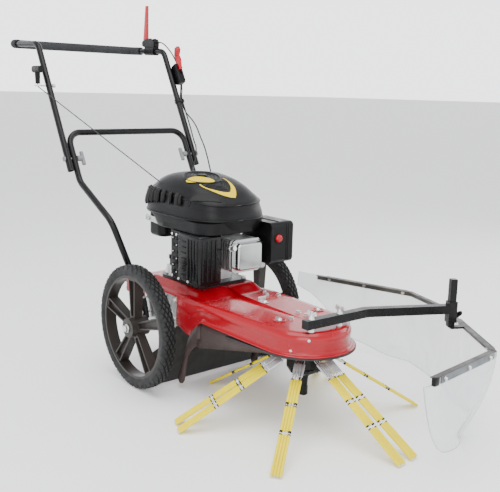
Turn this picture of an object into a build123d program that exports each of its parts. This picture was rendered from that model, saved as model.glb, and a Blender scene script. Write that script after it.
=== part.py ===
"""Walk-behind petrol weed sweeper: a belt-driven wire brush under a pressed deck.

Millimetres. +X is forward, +Y is the machine's left, +Z is up. The origin is
on the ground, midway between the wheels, under the axle.
"""
import os
from math import atan2, cos, radians, sin, sqrt, tan

from build123d import *

# ---------------------------------------------------------------- driving sizes
WHEEL_R = 200.0          # 16 inch wheel
TYRE_W = 46.0
TRACK_HALF = 258.0       # wheel centre plane from the middle
AXLE_R = 8.0
AXLE_HALF = 292.0
HUB_R = 31.0
HUB_INNER = 224.0
HUB_OUTER = 290.0
RIM_R = 166.0
RIM_OPENING_R = 158.0
SPOKES = 5

DECK_TOP = 302.0         # outside of the top plate
DECK_LIP = 236.0         # underside of the flange
DECK_T = 3.0
DECK_REAR = -250.0
DECK_SIDE = 150.0        # half width over the side walls at the rear
SIDE_STRAIGHT = 200.0    # the sides start to close in here
NOSE_R = 130.0
LIP_W = 14.0

BRUSH_X = 504.0          # brush spindle axis
BRUSH_R = 376.0          # to the bundle tips, on the ground
ROOT_R = 62.0
ROOT_Z = 203.0
PAIR_HALF = 17.0         # half the spacing of a pair of bundles at the hub

ENGINE_X = 15.0          # crankshaft axis
ENGINE_BASE = 326.0
BELT_Z = 246.0
CRANK_PITCH_R = 26.0
BRUSH_PITCH_R = 58.0

TUBE_R = 11.0            # handle tube
UPPER_Y = 268.0
LOWER_Y = 244.0
KNOB = (-425.0, 699.0)   # fold pivot, X and Z
LEG_TOP = (-635.0, 1092.0)
GRIP_X = -860.0
GRIP_Z = 1099.0
LOWER_BAR = (-472.0, 786.0)

GUARD_Z = 262.0          # middle of the guard frame bars
POST = (731.0, 380.0)    # guard post, X and Y
POST_SIDE = 20.0
SLEEVE_SIDE = 25.0
ARM_Z = 325.0
SHEET_T = 1.5
SHEET_LOW = 6.0

CLEAR = 0.05             # running fit, on the radius

os.makedirs("parts", exist_ok=True)


def save(piece, name):
    """Label one finished sub-part and write its STEP file."""
    piece.part.label = name
    export_step(piece.part, f"parts/{name}.step")


def wheel_plane(side):
    """Plane through the axle: local x across the wheel, local y up."""
    return Plane(origin=(0, side * TRACK_HALF, WHEEL_R), x_dir=(0, 1, 0), z_dir=(1, 0, 0))


def axle_axis():
    """Axis of the wheels."""
    return Axis((0, 0, WHEEL_R), (0, 1, 0))


def flat(x, y, z=0.0):
    """Horizontal plane at a place."""
    return Plane(origin=(x, y, z), x_dir=(1, 0, 0), z_dir=(0, 0, 1))


def hex_bolt(size, length):
    """Hexagon bolt along +Z from the seat, shank below it, with its washer."""
    with BuildPart() as bolt:
        with BuildSketch(Plane.XY):
            Circle(size * 1.1)
        extrude(amount=1.5)
        with BuildSketch(Plane.XY.offset(1.5)):
            RegularPolygon(size * 0.92, 6)
        extrude(amount=size * 0.65)
        with BuildSketch(Plane.XY):
            Circle(size / 2)
        extrude(amount=-length)
    return bolt.part


def y_cylinder(x, z, radius, y_from, y_to):
    """Round bar along Y."""
    with BuildPart() as bar:
        with BuildSketch(Plane(origin=(x, y_from, z), x_dir=(1, 0, 0), z_dir=(0, 1, 0))):
            Circle(radius)
        extrude(amount=y_to - y_from)
    return bar.part


def tube(points, radius, outer, inner=0.0):
    """Round tube or rod along straight runs joined by arcs of one radius or a list."""
    with BuildPart() as pipe:
        with BuildLine() as route:
            FilletPolyline(*points, radius=radius)
        with BuildSketch(Plane(origin=route.wires()[0] @ 0, z_dir=route.wires()[0] % 0)):
            Circle(outer)
            if inner > 0:
                Circle(inner, mode=Mode.SUBTRACT)
        sweep(path=route.wires()[0])
    return pipe.part


def route_radii(points):
    """Arc radius at each corner: as large as its two runs allow."""
    radii = []
    for before, here, after in zip(points, points[1:], points[2:]):
        into = Vector(*here) - Vector(*before)
        out = Vector(*after) - Vector(*here)
        turn = radians(into.get_angle(out))
        radii.append(0.45 * min(into.length, out.length) / tan(turn / 2))
    return radii


def deck_outline(grow):
    """Top view of the deck: rear rectangle closing to a round nose."""
    length = SIDE_STRAIGHT - DECK_REAR
    with BuildSketch(Plane.XY) as outline:
        with Locations(((SIDE_STRAIGHT + DECK_REAR) / 2, 0)):
            Rectangle(length, 2 * DECK_SIDE)
        with Locations((BRUSH_X, 0)):
            Circle(NOSE_R)
        make_hull()
        if grow != 0:
            offset(amount=grow, kind=Kind.ARC)
    return outline.sketch


# ---------------------------------------------------------------- wheels
def make_tyre(side):
    with BuildPart() as tyre:
        with BuildSketch(wheel_plane(side)) as section:
            with Locations((0, (RIM_R + WHEEL_R) / 2)):
                Rectangle(TYRE_W, WHEEL_R - RIM_R)
            fillet(section.vertices().group_by(Axis.Z)[-1], 13)
            fillet(section.vertices().group_by(Axis.Z)[0], 4)
        revolve(axis=axle_axis())
    return tyre


def make_rim(side):
    with BuildPart() as rim:
        with BuildSketch(wheel_plane(side)):
            with Locations((0, (RIM_R + RIM_OPENING_R) / 2 - 0.05)):
                Rectangle(TYRE_W - 8, RIM_R - RIM_OPENING_R - 0.1)
        revolve(axis=axle_axis())
        hub_mid = side * (HUB_INNER + HUB_OUTER) / 2
        add(y_cylinder(0, WHEEL_R, HUB_R, hub_mid - 33, hub_mid + 33))
        for step in range(SPOKES):
            angle = radians(90 + 360 / SPOKES * step)
            reach = (HUB_R + RIM_OPENING_R) / 2
            centre = (reach * cos(angle), side * TRACK_HALF, WHEEL_R + reach * sin(angle))
            outward = (cos(angle), 0, sin(angle))
            spoke = Plane(origin=centre, x_dir=(0, 1, 0), z_dir=outward)
            with BuildSketch(spoke.offset(-reach + HUB_R - 6)):
                Rectangle(28, 24)
            with BuildSketch(spoke.offset(RIM_OPENING_R - reach + 2)):
                Rectangle(34, 38)
            loft()
            with BuildSketch(spoke.offset(-reach + HUB_R + 6)):
                with Locations((side * 11, 0)):
                    Rectangle(14, 14)
            with BuildSketch(spoke.offset(RIM_OPENING_R - reach - 6)):
                with Locations((side * 13, 0)):
                    Rectangle(16, 28)
            loft(mode=Mode.SUBTRACT)
        add(y_cylinder(0, WHEEL_R, AXLE_R + CLEAR, -300, 300), mode=Mode.SUBTRACT)
    return rim


for side, word in ((1, "left"), (-1, "right")):
    save(make_tyre(side), f"tyre_{word}")
    save(make_rim(side), f"rim_{word}")

with BuildPart() as axle:
    add(y_cylinder(0, WHEEL_R, AXLE_R, -AXLE_HALF, AXLE_HALF))
    chamfer(axle.edges().filter_by(GeomType.CIRCLE), 1)
save(axle, "axle")

# ---------------------------------------------------------------- bracket and bolt places
BRACKET_T = 4.0
BRACKET_BOLTS = [(60, 282), (60, 222), (-92, 262), (-86, 212)]
STEP_HALF = 118.0        # raised engine step, half width
STEP_FRONT = 150.0
STEP_REAR = -125.0
ENGINE_BOLTS = [(-52, -90), (-88, 88), (112, -88), (112, 88)]
SPINDLE_BOLTS = [(BRUSH_X + 42 * cos(radians(a)), 42 * sin(radians(a))) for a in (45, 135, 225, 315)]
TOP_BOLTS = [(196, 108), (236, 84), (262, 112), (440, 30), (452, -62)]
ARM_END = (590.0, -89.0)
ARM_BEND = (604.0, 143.0)
ARM_BOLTS = [(591.0, -65.0), (597.5, 40.0)]
BOLT_R = 4.0

# ---------------------------------------------------------------- deck
SIDE_PROFILE = [(DECK_REAR, 252), (-140, 236), (-120, 200), (60, 200), (140, 184), (212, 246), (212, 285),
                (DECK_REAR, 285)]

with BuildPart() as deck:
    with BuildSketch(Plane.XY.offset(DECK_LIP)):
        add(deck_outline(0))
    extrude(amount=DECK_TOP - DECK_LIP)
    with BuildSketch(Plane.XY.offset(DECK_TOP - 4)):
        with Locations(((STEP_FRONT + STEP_REAR) / 2, 0)):
            RectangleRounded(STEP_FRONT - STEP_REAR, 2 * STEP_HALF, 24)
    extrude(amount=ENGINE_BASE - DECK_TOP + 4, taper=30)
    top_edges = deck.faces().filter_by(Axis.Z).sort_by(Axis.Z)[-2].outer_wire().edges()
    fillet(top_edges, 9)
    with BuildSketch(Plane.XY.offset(DECK_LIP)):
        add(deck_outline(-DECK_T))
    extrude(amount=DECK_TOP - DECK_LIP - DECK_T, mode=Mode.SUBTRACT)
    with BuildSketch(Plane.XY.offset(DECK_TOP - 6)):
        with Locations(((STEP_FRONT + STEP_REAR) / 2, 0)):
            RectangleRounded(STEP_FRONT - STEP_REAR - 12, 2 * STEP_HALF - 12, 20)
    extrude(amount=ENGINE_BASE - DECK_TOP + 3, taper=30, mode=Mode.SUBTRACT)
    with BuildSketch(Plane.XY.offset(DECK_LIP)):
        add(deck_outline(LIP_W))
        add(deck_outline(-DECK_T), mode=Mode.SUBTRACT)
        with Locations(((SIDE_STRAIGHT + DECK_REAR) / 2 - 60, 0)):
            Rectangle(SIDE_STRAIGHT - DECK_REAR + 130, 900, mode=Mode.SUBTRACT)
    extrude(amount=DECK_T)
    for y_from in (-DECK_SIDE, DECK_SIDE - DECK_T):
        with BuildSketch(Plane(origin=(0, y_from, 0), x_dir=(1, 0, 0), z_dir=(0, -1, 0))):
            with BuildLine():
                Polyline(*SIDE_PROFILE, close=True)
            make_face()
        extrude(amount=-DECK_T)
        for x, z in BRACKET_BOLTS:
            add(y_cylinder(x, z, BOLT_R + 0.3, y_from - 2, y_from + DECK_T + 2), mode=Mode.SUBTRACT)
        add(y_cylinder(0, WHEEL_R, AXLE_R + 3, y_from - 2, y_from + DECK_T + 2), mode=Mode.SUBTRACT)
    with BuildSketch(Plane.XY.offset(DECK_TOP - 12)):
        with Locations((ENGINE_X, 0)):
            Circle(26)
        with Locations((BRUSH_X, 0)):
            Circle(13)
        with Locations(*SPINDLE_BOLTS, *TOP_BOLTS, *ENGINE_BOLTS, *ARM_BOLTS):
            Circle(BOLT_R + 0.3)
    extrude(amount=60, mode=Mode.SUBTRACT)
save(deck, "deck")

TRIM_REAR = 330.0
with BuildPart() as edge_trim:
    with BuildSketch(Plane.XY.offset(DECK_LIP - 5)):
        add(deck_outline(LIP_W + 3))
        add(deck_outline(LIP_W - 6), mode=Mode.SUBTRACT)
        with Locations((TRIM_REAR - 500, 0)):
            Rectangle(1000, 900, mode=Mode.SUBTRACT)
    extrude(amount=5)
save(edge_trim, "edge_trim")

# ---------------------------------------------------------------- rubber skirts and flap
SKIRT_T = 4.0
SKIRT = [(330, 218), (236, 172), (176, 150), (140, 110), (122, 62), (118, 26), (92, 14), (86, 34), (98, 84),
         (120, 140), (141, 180), (205, DECK_LIP - 0.2), (330, DECK_LIP - 0.2)]

with BuildPart() as side_skirts:
    for side in (1, -1):
        skirt_y = side * (DECK_SIDE + LIP_W - 8)
        with BuildSketch(Plane(origin=(0, skirt_y, 0), x_dir=(1, 0, 0), z_dir=(0, -1, 0))):
            with BuildLine():
                Polyline(*SKIRT, close=True)
            make_face()
        extrude(amount=SKIRT_T / 2, both=True)
save(side_skirts, "side_skirts")

FLAP_X = 52.0
with BuildPart() as rear_flap:
    with BuildSketch(Plane(origin=(FLAP_X, 0, 0), x_dir=(0, 1, 0), z_dir=(1, 0, 0))):
        with BuildLine():
            Polyline((-229, 10), (229, 10), (229, 122), (146, 158), (146, 198), (-146, 198), (-146, 158),
                     (-229, 122), close=True)
        make_face()
    extrude(amount=2, both=True)
save(rear_flap, "rear_flap")

# ---------------------------------------------------------------- axle brackets
with BuildPart() as axle_brackets:
    for side in (1, -1):
        y_from = side * DECK_SIDE
        with BuildSketch(Plane(origin=(0, y_from, 0), x_dir=(1, 0, 0), z_dir=(0, -1, 0))):
            with BuildLine():
                Polyline((-112, 190), (-40, 168), (40, 168), (72, 200), (72, 296), (-20, 296), (-60, 280),
                         (-112, 284), close=True)
            make_face()
            with Locations((0, WHEEL_R)):
                Circle(AXLE_R + CLEAR, mode=Mode.SUBTRACT)
            with Locations(*BRACKET_BOLTS):
                Circle(BOLT_R + 0.2, mode=Mode.SUBTRACT)
        extrude(amount=-side * BRACKET_T)
save(axle_brackets, "axle_brackets")

# ---------------------------------------------------------------- lower handle
LOWER_ROUTE = [(-80, 170, 192), (-96, 170, 248), (-135, 184, 322),
               (-172, LOWER_Y, 513), (-385, LOWER_Y, 622),
               (LOWER_BAR[0], LOWER_Y, LOWER_BAR[1])]
LOWER_RADII = [60, 60, 60, 60]
CORNER_R = 48.0
mirrored = [(x, -y, z) for x, y, z in reversed(LOWER_ROUTE)]

with BuildPart() as lower_handle:
    add(tube(LOWER_ROUTE + mirrored, LOWER_RADII + [CORNER_R, CORNER_R] + LOWER_RADII, TUBE_R, TUBE_R - 1.5))
    for side in (1, -1):
        add(y_cylinder(KNOB[0], KNOB[1], BOLT_R + 0.1, side * (LOWER_Y - 20), side * (LOWER_Y + 20)),
            mode=Mode.SUBTRACT)
        for x, z in BRACKET_BOLTS[2:]:
            add(y_cylinder(x, z, BOLT_R + 0.2, side * 140, side * 215), mode=Mode.SUBTRACT)
save(lower_handle, "lower_handle")

# ---------------------------------------------------------------- upper handle
UPPER_LOW = (KNOB[0] + 21, KNOB[1] - 40)
UPPER_ROUTE = [(UPPER_LOW[0], UPPER_Y, UPPER_LOW[1]),
               (LEG_TOP[0], UPPER_Y, LEG_TOP[1]),
               (GRIP_X, UPPER_Y, GRIP_Z)]
UPPER_MIRROR = [(x, -y, z) for x, y, z in reversed(UPPER_ROUTE)]
FOAM_R = 16.0
FOAM_START = -806.0
GUIDE = (-560.0, 946.0)  # rope guide bolt on the right leg, X and Z

with BuildPart() as upper_handle:
    add(tube(UPPER_ROUTE + UPPER_MIRROR, [40, 32, 32, 40], TUBE_R, TUBE_R - 1.5))
    for side in (1, -1):
        add(y_cylinder(KNOB[0], KNOB[1], BOLT_R + CLEAR, side * (UPPER_Y - 20), side * (UPPER_Y + 20)),
            mode=Mode.SUBTRACT)
    add(y_cylinder(GUIDE[0], GUIDE[1], 3.1, -UPPER_Y - 20, -UPPER_Y + 20), mode=Mode.SUBTRACT)
save(upper_handle, "upper_handle")

with BuildPart() as foam_grip:
    foam_path = [(FOAM_START, UPPER_Y, GRIP_Z - 1.68), (GRIP_X, UPPER_Y, GRIP_Z), (GRIP_X, -UPPER_Y, GRIP_Z),
                 (FOAM_START, -UPPER_Y, GRIP_Z - 1.68)]
    add(tube(foam_path, [32, 32], FOAM_R, TUBE_R + 0.05))
save(foam_grip, "foam_grip")

with BuildPart() as handle_knobs:
    for side in (1, -1):
        add(y_cylinder(KNOB[0], KNOB[1], BOLT_R, side * 226, side * 280))
        add(y_cylinder(KNOB[0], KNOB[1], 9, side * 279.5, side * 284))
        add(y_cylinder(KNOB[0], KNOB[1], 10, side * 216, side * 232.5))
        knob_plane = Plane(origin=(KNOB[0], side * 216, KNOB[1]), x_dir=(-0.471, 0, 0.882), z_dir=(0, side, 0))
        with BuildSketch(knob_plane):
            SlotOverall(52, 13)
        extrude(amount=-9)
save(handle_knobs, "handle_knobs")

# ---------------------------------------------------------------- starter guide, grip and rope
EYE_Y = -308.0
with BuildPart() as rope_guide:
    add(y_cylinder(GUIDE[0], GUIDE[1], 3, EYE_Y + 9, -UPPER_Y + 26))
    add(y_cylinder(GUIDE[0], GUIDE[1], 7, -UPPER_Y + 14, -UPPER_Y + 24))
    with BuildSketch(flat(GUIDE[0], EYE_Y, GUIDE[1] - 2.5)):
        Circle(11.5)
        Circle(6.5, mode=Mode.SUBTRACT)
    extrude(amount=5)
save(rope_guide, "rope_guide")

GRIP_LOW = GUIDE[1] + 6
with BuildPart() as starter_grip:
    with BuildSketch(Plane.XY.offset(GRIP_LOW)):
        with Locations((GUIDE[0], EYE_Y)):
            Circle(8)
    with BuildSketch(Plane.XY.offset(GRIP_LOW + 44)):
        with Locations((GUIDE[0], EYE_Y)):
            Ellipse(13, 9)
    loft()
    with BuildSketch(Plane(origin=(GUIDE[0], EYE_Y, GRIP_LOW + 50), x_dir=(0, 1, 0), z_dir=(1, 0, 0))):
        RectangleRounded(18, 24, 8.5)
    extrude(amount=28, both=True)
    with BuildSketch(Plane.XY.offset(GRIP_LOW)):
        with Locations((GUIDE[0], EYE_Y)):
            Circle(2.6)
    extrude(amount=20, mode=Mode.SUBTRACT)
save(starter_grip, "starter_grip")

ROPE_OUTLET = (-136.0, -116.0, 647.0)
with BuildPart() as starter_rope:
    add(tube([(GUIDE[0], EYE_Y, GRIP_LOW + 14), (GUIDE[0] + 1, EYE_Y + 0.5, GUIDE[1] - 6),
              ROPE_OUTLET], [8], 1.8))
save(starter_rope, "starter_rope")

# ---------------------------------------------------------------- brake lever and bracket
LEVER_PIVOT = (-765.0, 1126.0)
with BuildPart() as lever_bracket:
    with BuildSketch(Plane(origin=(-690, UPPER_Y, 1093.7), x_dir=(0, 1, 0), z_dir=(-1, 0, 0.0311))):
        RectangleRounded(32, 32, 9)
        Circle(TUBE_R + 0.05, mode=Mode.SUBTRACT)
    extrude(amount=66)
    for y_from in (UPPER_Y - 13, UPPER_Y + 9.3):
        with BuildSketch(Plane(origin=(0, y_from, 0), x_dir=(1, 0, 0), z_dir=(0, -1, 0))):
            with BuildLine():
                Polyline((-700, 1108), (-756, 1110), (-776, 1118), (-776, 1134), (-756, 1142), (-712, 1146),
                         (-686, 1132), (-690, 1108), close=True)
            make_face()
        extrude(amount=-4)
    with BuildSketch(Plane(origin=(0, UPPER_Y - 9, 0), x_dir=(1, 0, 0), z_dir=(0, -1, 0))):
        with Locations((-700, 1126)):
            RectangleRounded(26, 32, 6)
    extrude(amount=-19)
    add(y_cylinder(*LEVER_PIVOT, 3, UPPER_Y - 13, UPPER_Y + 13.3))
save(lever_bracket, "lever_bracket")

with BuildPart() as brake_lever:
    with BuildSketch(Plane.XY.offset(LEVER_PIVOT[1])):
        with Locations((LEVER_PIVOT[0] - 2, UPPER_Y + 0.2)):
            RectangleRounded(24, 17, 5)
    with BuildSketch(Plane.XY.offset(1276)):
        with Locations((-757, UPPER_Y + 0.2)):
            RectangleRounded(14, 11, 4)
    loft()
    add(y_cylinder(*LEVER_PIVOT, 7, UPPER_Y - 8.3, UPPER_Y + 8.7))
    add(y_cylinder(*LEVER_PIVOT, 3.05, UPPER_Y - 20, UPPER_Y + 20), mode=Mode.SUBTRACT)
save(brake_lever, "brake_lever")

# ---------------------------------------------------------------- throttle
LEG_DIR = (-0.471, 0.0, 0.882)
THROTTLE = (-562.0, 1003.0)
THROTTLE_PIVOT = (-556.0, 1030.0)
HOUSING_Y = UPPER_Y + TUBE_R
with BuildPart() as throttle_housing:
    for y_from, depth in ((HOUSING_Y, 5), (HOUSING_Y + 18, 5)):
        with BuildSketch(Plane(origin=(THROTTLE[0], y_from, THROTTLE[1]), x_dir=LEG_DIR, z_dir=(0, 1, 0))):
            RectangleRounded(82, 38, 9)
        extrude(amount=depth)
    cheek = Plane(origin=(THROTTLE[0], HOUSING_Y + 4.9, THROTTLE[1]), x_dir=LEG_DIR, z_dir=(0, 1, 0))
    with BuildSketch(cheek):
        with Locations((-22, 0)):
            RectangleRounded(38, 38, 9)
    extrude(amount=13.2)
    add(y_cylinder(*THROTTLE_PIVOT, 4, HOUSING_Y + 4, HOUSING_Y + 24))
save(throttle_housing, "throttle_housing")

with BuildPart() as throttle_lever:
    with BuildSketch(Plane(origin=(0, HOUSING_Y + 5.5, 0), x_dir=(1, 0, 0), z_dir=(0, -1, 0))):
        with BuildLine():
            Polyline((-566, 1030), (-546, 1030), (-550, 1062), (-562, 1078), (-556, 1100), (-566, 1112),
                     (-582, 1104), (-584, 1076), (-572, 1056), close=True)
        make_face()
        with Locations((-556, 1030)):
            Circle(11)
            Circle(4 + CLEAR, mode=Mode.SUBTRACT)
    extrude(amount=-12)
save(throttle_lever, "throttle_lever")

CLIP = (-531.0, 898.0)   # on the left leg, X and Z
CLIP_HOLE_Y = 18.5
CLIP_HOLE_HALF = 4.2
with BuildPart() as cable_clip:
    with BuildSketch(Plane(origin=(CLIP[0], UPPER_Y, CLIP[1]), x_dir=(0, 1, 0), z_dir=LEG_DIR)):
        Circle(TUBE_R + 3)
        with Locations((TUBE_R + 5.5, 0)):
            Rectangle(14, 18)
        Circle(TUBE_R + CLEAR, mode=Mode.SUBTRACT)
        with Locations((CLIP_HOLE_Y, CLIP_HOLE_HALF), (CLIP_HOLE_Y, -CLIP_HOLE_HALF)):
            Circle(3.2, mode=Mode.SUBTRACT)
    extrude(amount=7, both=True)
save(cable_clip, "cable_clip")

# ---------------------------------------------------------------- cables
THROTTLE_ROUTE = [(-541, 292, 962), (-536, 291, 940), (-536.7, 286.5, 917.6), (-517.9, 286.5, 882.4),
                  (-494, 287.5, 836), (-470, 288, 790), (-444, 284, 746), (-406, 270, 722), (-384, 246, 678),
                  (-352, 212, 650), (-312, 186, 634), (-266, 170, 622), (-220, 162, 608), (-176, 166, 588),
                  (-136, 172, 560), (-96, 166, 540), (-60, 140, 520), (-24, 102, 512)]
BRAKE_ROUTE = [(-686, 268, 1127), (-660, 270, 1131), (-634, 278, 1116), (-614, 298, 1082), (-600, 312, 1040),
               (-584, 314, 1000), (-566, 306, 955), (-544.1, 286.5, 913.6), (-525.3, 286.5, 878.4),
               (-512, 296, 850), (-470, 294, 828), (-420, 280, 802), (-362, 254, 770), (-302, 230, 737),
               (-246, 202, 704), (-196, 178, 664), (-164, 164, 626), (-140, 160, 588), (-112, 158, 552),
               (-76, 124, 512)]


def cable(points, radius):
    """Bowden cable outer, along its route."""
    radii = route_radii(points)
    print("cable arc radii", [round(value) for value in radii])
    return tube(points, radii, radius)


with BuildPart() as throttle_cable:
    add(cable(THROTTLE_ROUTE, 2.5))
save(throttle_cable, "throttle_cable")

with BuildPart() as brake_cable:
    add(cable(BRAKE_ROUTE, 2.5))
save(brake_cable, "brake_cable")

# ---------------------------------------------------------------- engine
CYL_Y = 24.0
CYL_Z = 434.0
BLOCK_TOP = 509.8
BLOCK_FRONT = 89.0
BLOCK_REAR = -79.0
BLOCK_Y = (-56.0, 74.0)
FINS = 8
OIL_FILLER = (-88.0, -62.0)
with BuildPart() as engine_block:
    with BuildSketch(Plane.XY.offset(ENGINE_BASE)):
        with Locations((12, 0)):
            RectangleRounded(232, 206, 30)
    extrude(amount=9)
    with BuildSketch(Plane.XY.offset(ENGINE_BASE + 9)):
        with Locations(((BLOCK_FRONT + BLOCK_REAR) / 2, sum(BLOCK_Y) / 2)):
            RectangleRounded(BLOCK_FRONT - BLOCK_REAR, BLOCK_Y[1] - BLOCK_Y[0], 30)
    extrude(amount=BLOCK_TOP - ENGINE_BASE - 9)
    with BuildSketch(flat(*OIL_FILLER, ENGINE_BASE + 9)):
        Circle(22)
    extrude(amount=26, taper=12)
    cylinder_face = Plane(origin=(BLOCK_FRONT, CYL_Y, CYL_Z), x_dir=(0, 1, 0), z_dir=(1, 0, 0))
    with BuildSketch(cylinder_face.offset(-8)):
        Circle(42)
    extrude(amount=110)
    for step in range(FINS):
        with BuildSketch(cylinder_face.offset(11 + 12 * step)):
            RectangleRounded(112, 104, 12)
        extrude(amount=3.5)
    with BuildSketch(cylinder_face.offset(97)):
        RectangleRounded(108, 100, 14)
    extrude(amount=9.8)
    with BuildSketch(flat(ENGINE_X, 0, ENGINE_BASE - 1)):
        Circle(11.12)
    extrude(amount=BLOCK_TOP - ENGINE_BASE + 2, mode=Mode.SUBTRACT)
    with BuildSketch(flat(0, 0, ENGINE_BASE - 1)):
        with Locations(*ENGINE_BOLTS):
            Circle(BOLT_R + 0.3)
    extrude(amount=12, mode=Mode.SUBTRACT)
    with BuildSketch(flat(*OIL_FILLER, ENGINE_BASE + 14)):
        Circle(7)
    extrude(amount=30, mode=Mode.SUBTRACT)
save(engine_block, "engine_block")

with BuildPart() as valve_cover:
    with BuildSketch(Plane(origin=(196, 26, CYL_Z), x_dir=(0, 1, 0), z_dir=(1, 0, 0))):
        RectangleRounded(118, 106, 16)
    extrude(amount=5)
    with BuildSketch(Plane(origin=(201, 26, CYL_Z), x_dir=(0, 1, 0), z_dir=(1, 0, 0))):
        RectangleRounded(102, 90, 14)
    extrude(amount=21, taper=8)
    fillet(valve_cover.faces().sort_by(Axis.X)[-1].edges(), 6)
save(valve_cover, "valve_cover")

with BuildPart() as spark_plug:
    plug_seat = Plane(origin=(196, -44, 462), x_dir=(0, 1, 0), z_dir=(0.98, 0, 0.2))
    with BuildSketch(plug_seat):
        RegularPolygon(9, 6)
    extrude(amount=14)
    with BuildSketch(plug_seat.offset(13)):
        Circle(7)
    extrude(amount=20)
save(spark_plug, "spark_plug")

HOOD_C = (8.0, 4.0)
HOOD_LOW = 545.0
HOOD_LONG = 388.0
HOOD_WIDE = 282.0
HOOD_TALL = 134.0
HOOD_CORNER = 92.0
HOOD_ROUND = 84.0
HOOD_T = 3.0


def hood_solid(shrink):
    """Rounded block with a large round over its top."""
    with BuildPart() as dome:
        with BuildSketch(flat(*HOOD_C, HOOD_LOW)):
            RectangleRounded(HOOD_LONG - 2 * shrink, HOOD_WIDE - 2 * shrink, HOOD_CORNER - shrink)
        extrude(amount=HOOD_TALL - shrink)
        fillet(dome.faces().sort_by(Axis.Z)[-1].edges(), HOOD_ROUND - shrink)
    return dome.part


with BuildPart() as blower_hood:
    add(hood_solid(0))
    add(hood_solid(HOOD_T), mode=Mode.SUBTRACT)
    for step in range(6):
        with BuildSketch(Plane(origin=(-64 + 27 * step, -152, 604), x_dir=(1, 0, 0), z_dir=(0, 1, 0))):
            SlotOverall(36, 8, rotation=90)
        extrude(amount=34, mode=Mode.SUBTRACT)
save(blower_hood, "blower_hood")

BASE_LOW = 510.0
with BuildPart() as blower_base:
    with BuildSketch(flat(57, -19.5, BASE_LOW)):
        RectangleRounded(286, 235, 60)
    extrude(amount=HOOD_LOW - BASE_LOW)
    with BuildSketch(flat(57, -19.5, BASE_LOW + 3)):
        RectangleRounded(280, 229, 57)
    extrude(amount=HOOD_LOW - BASE_LOW, mode=Mode.SUBTRACT)
    with BuildSketch(flat(ENGINE_X, 0, BASE_LOW - 1)):
        Circle(30)
    extrude(amount=5, mode=Mode.SUBTRACT)
save(blower_base, "blower_base")

FLYWHEEL_LOW = 518.0
BLADES = 12
with BuildPart() as flywheel:
    with BuildSketch(flat(ENGINE_X, 0, FLYWHEEL_LOW)):
        Circle(88)
        Circle(11.1, mode=Mode.SUBTRACT)
    extrude(amount=16)
    for step in range(BLADES):
        angle = radians(360 / BLADES * step)
        out = (cos(angle), sin(angle), 0)
        plane = Plane(origin=(ENGINE_X, 0, FLYWHEEL_LOW + 15), x_dir=out, z_dir=(0, 0, 1))
        with BuildSketch(plane):
            with Locations((70, 0)):
                Rectangle(30, 3)
        extrude(amount=23)
save(flywheel, "flywheel")

SPOOL_LOW = 566.0
with BuildPart() as starter_spool:
    for low, high, radius in ((0, 3, 46), (3, 15, 34), (15, 18, 46)):
        with BuildSketch(Plane.XY.offset(SPOOL_LOW + low)):
            with Locations((ENGINE_X, 0)):
                Circle(radius)
                Circle(8, mode=Mode.SUBTRACT)
        extrude(amount=high - low)
save(starter_spool, "starter_spool")

FILLER = (-150.0, 138.0)
with BuildPart() as fuel_tank:
    with BuildSketch(flat(-135, 6, 456)):
        RectangleRounded(90, 214, 28)
    extrude(amount=86)
    fillet(fuel_tank.faces().sort_by(Axis.Z)[0].edges(), 12)
    with BuildSketch(flat(*FILLER, 474)):
        Circle(25)
        with Locations((0, -30)):
            Rectangle(50, 60)
    extrude(amount=62)
save(fuel_tank, "fuel_tank")

with BuildPart() as fuel_cap:
    with BuildSketch(flat(*FILLER, 536)):
        Circle(24)
    extrude(amount=8)
save(fuel_cap, "fuel_cap")

with BuildPart() as dipstick:
    with BuildSketch(flat(*OIL_FILLER, ENGINE_BASE + 22)):
        Circle(6.9)
    extrude(amount=34)
    with BuildSketch(flat(*OIL_FILLER, ENGINE_BASE + 56)):
        Circle(10)
    extrude(amount=14)
save(dipstick, "dipstick")

MUFFLER = (108.0, -107.0, 430.0)
with BuildPart() as muffler:
    with BuildSketch(Plane(origin=MUFFLER, x_dir=(1, 0, 0), z_dir=(0, 0, 1))):
        RectangleRounded(138, 62, 18)
    extrude(amount=62, both=True)
    fillet(muffler.faces().filter_by(Axis.Z).edges(), 8)
save(muffler, "muffler")

with BuildPart() as muffler_guard:
    with BuildSketch(Plane(origin=MUFFLER, x_dir=(1, 0, 0), z_dir=(0, 0, 1))):
        RectangleRounded(166, 90, 8)
    extrude(amount=78, both=True)
    with BuildSketch(Plane(origin=MUFFLER, x_dir=(1, 0, 0), z_dir=(0, 0, 1))):
        with Locations((0, 12)):
            Rectangle(161, 110)
    extrude(amount=76, both=True, mode=Mode.SUBTRACT)
    for row in range(6):
        for column in range(2):
            spot = Plane(origin=(36 + 18 * column, -156, 372 + 24 * row), x_dir=(1, 0, 0), z_dir=(0, 1, 0))
            with BuildSketch(spot):
                SlotOverall(13, 8)
            extrude(amount=12, mode=Mode.SUBTRACT)
    for column in range(5):
        with BuildSketch(Plane.XY.offset(500)):
            with Locations((50 + 28 * column, -112)):
                SlotOverall(50, 8, rotation=90)
        extrude(amount=20, mode=Mode.SUBTRACT)
save(muffler_guard, "muffler_guard")

with BuildPart() as carburettor:
    with BuildSketch(flat(160, 112, 410)):
        RectangleRounded(46, 40, 8)
    extrude(amount=52)
    with BuildSketch(flat(160, 112, 376)):
        Circle(22)
    extrude(amount=34)
    fillet(carburettor.faces().sort_by(Axis.Z)[0].edges(), 8)
save(carburettor, "carburettor")

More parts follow.
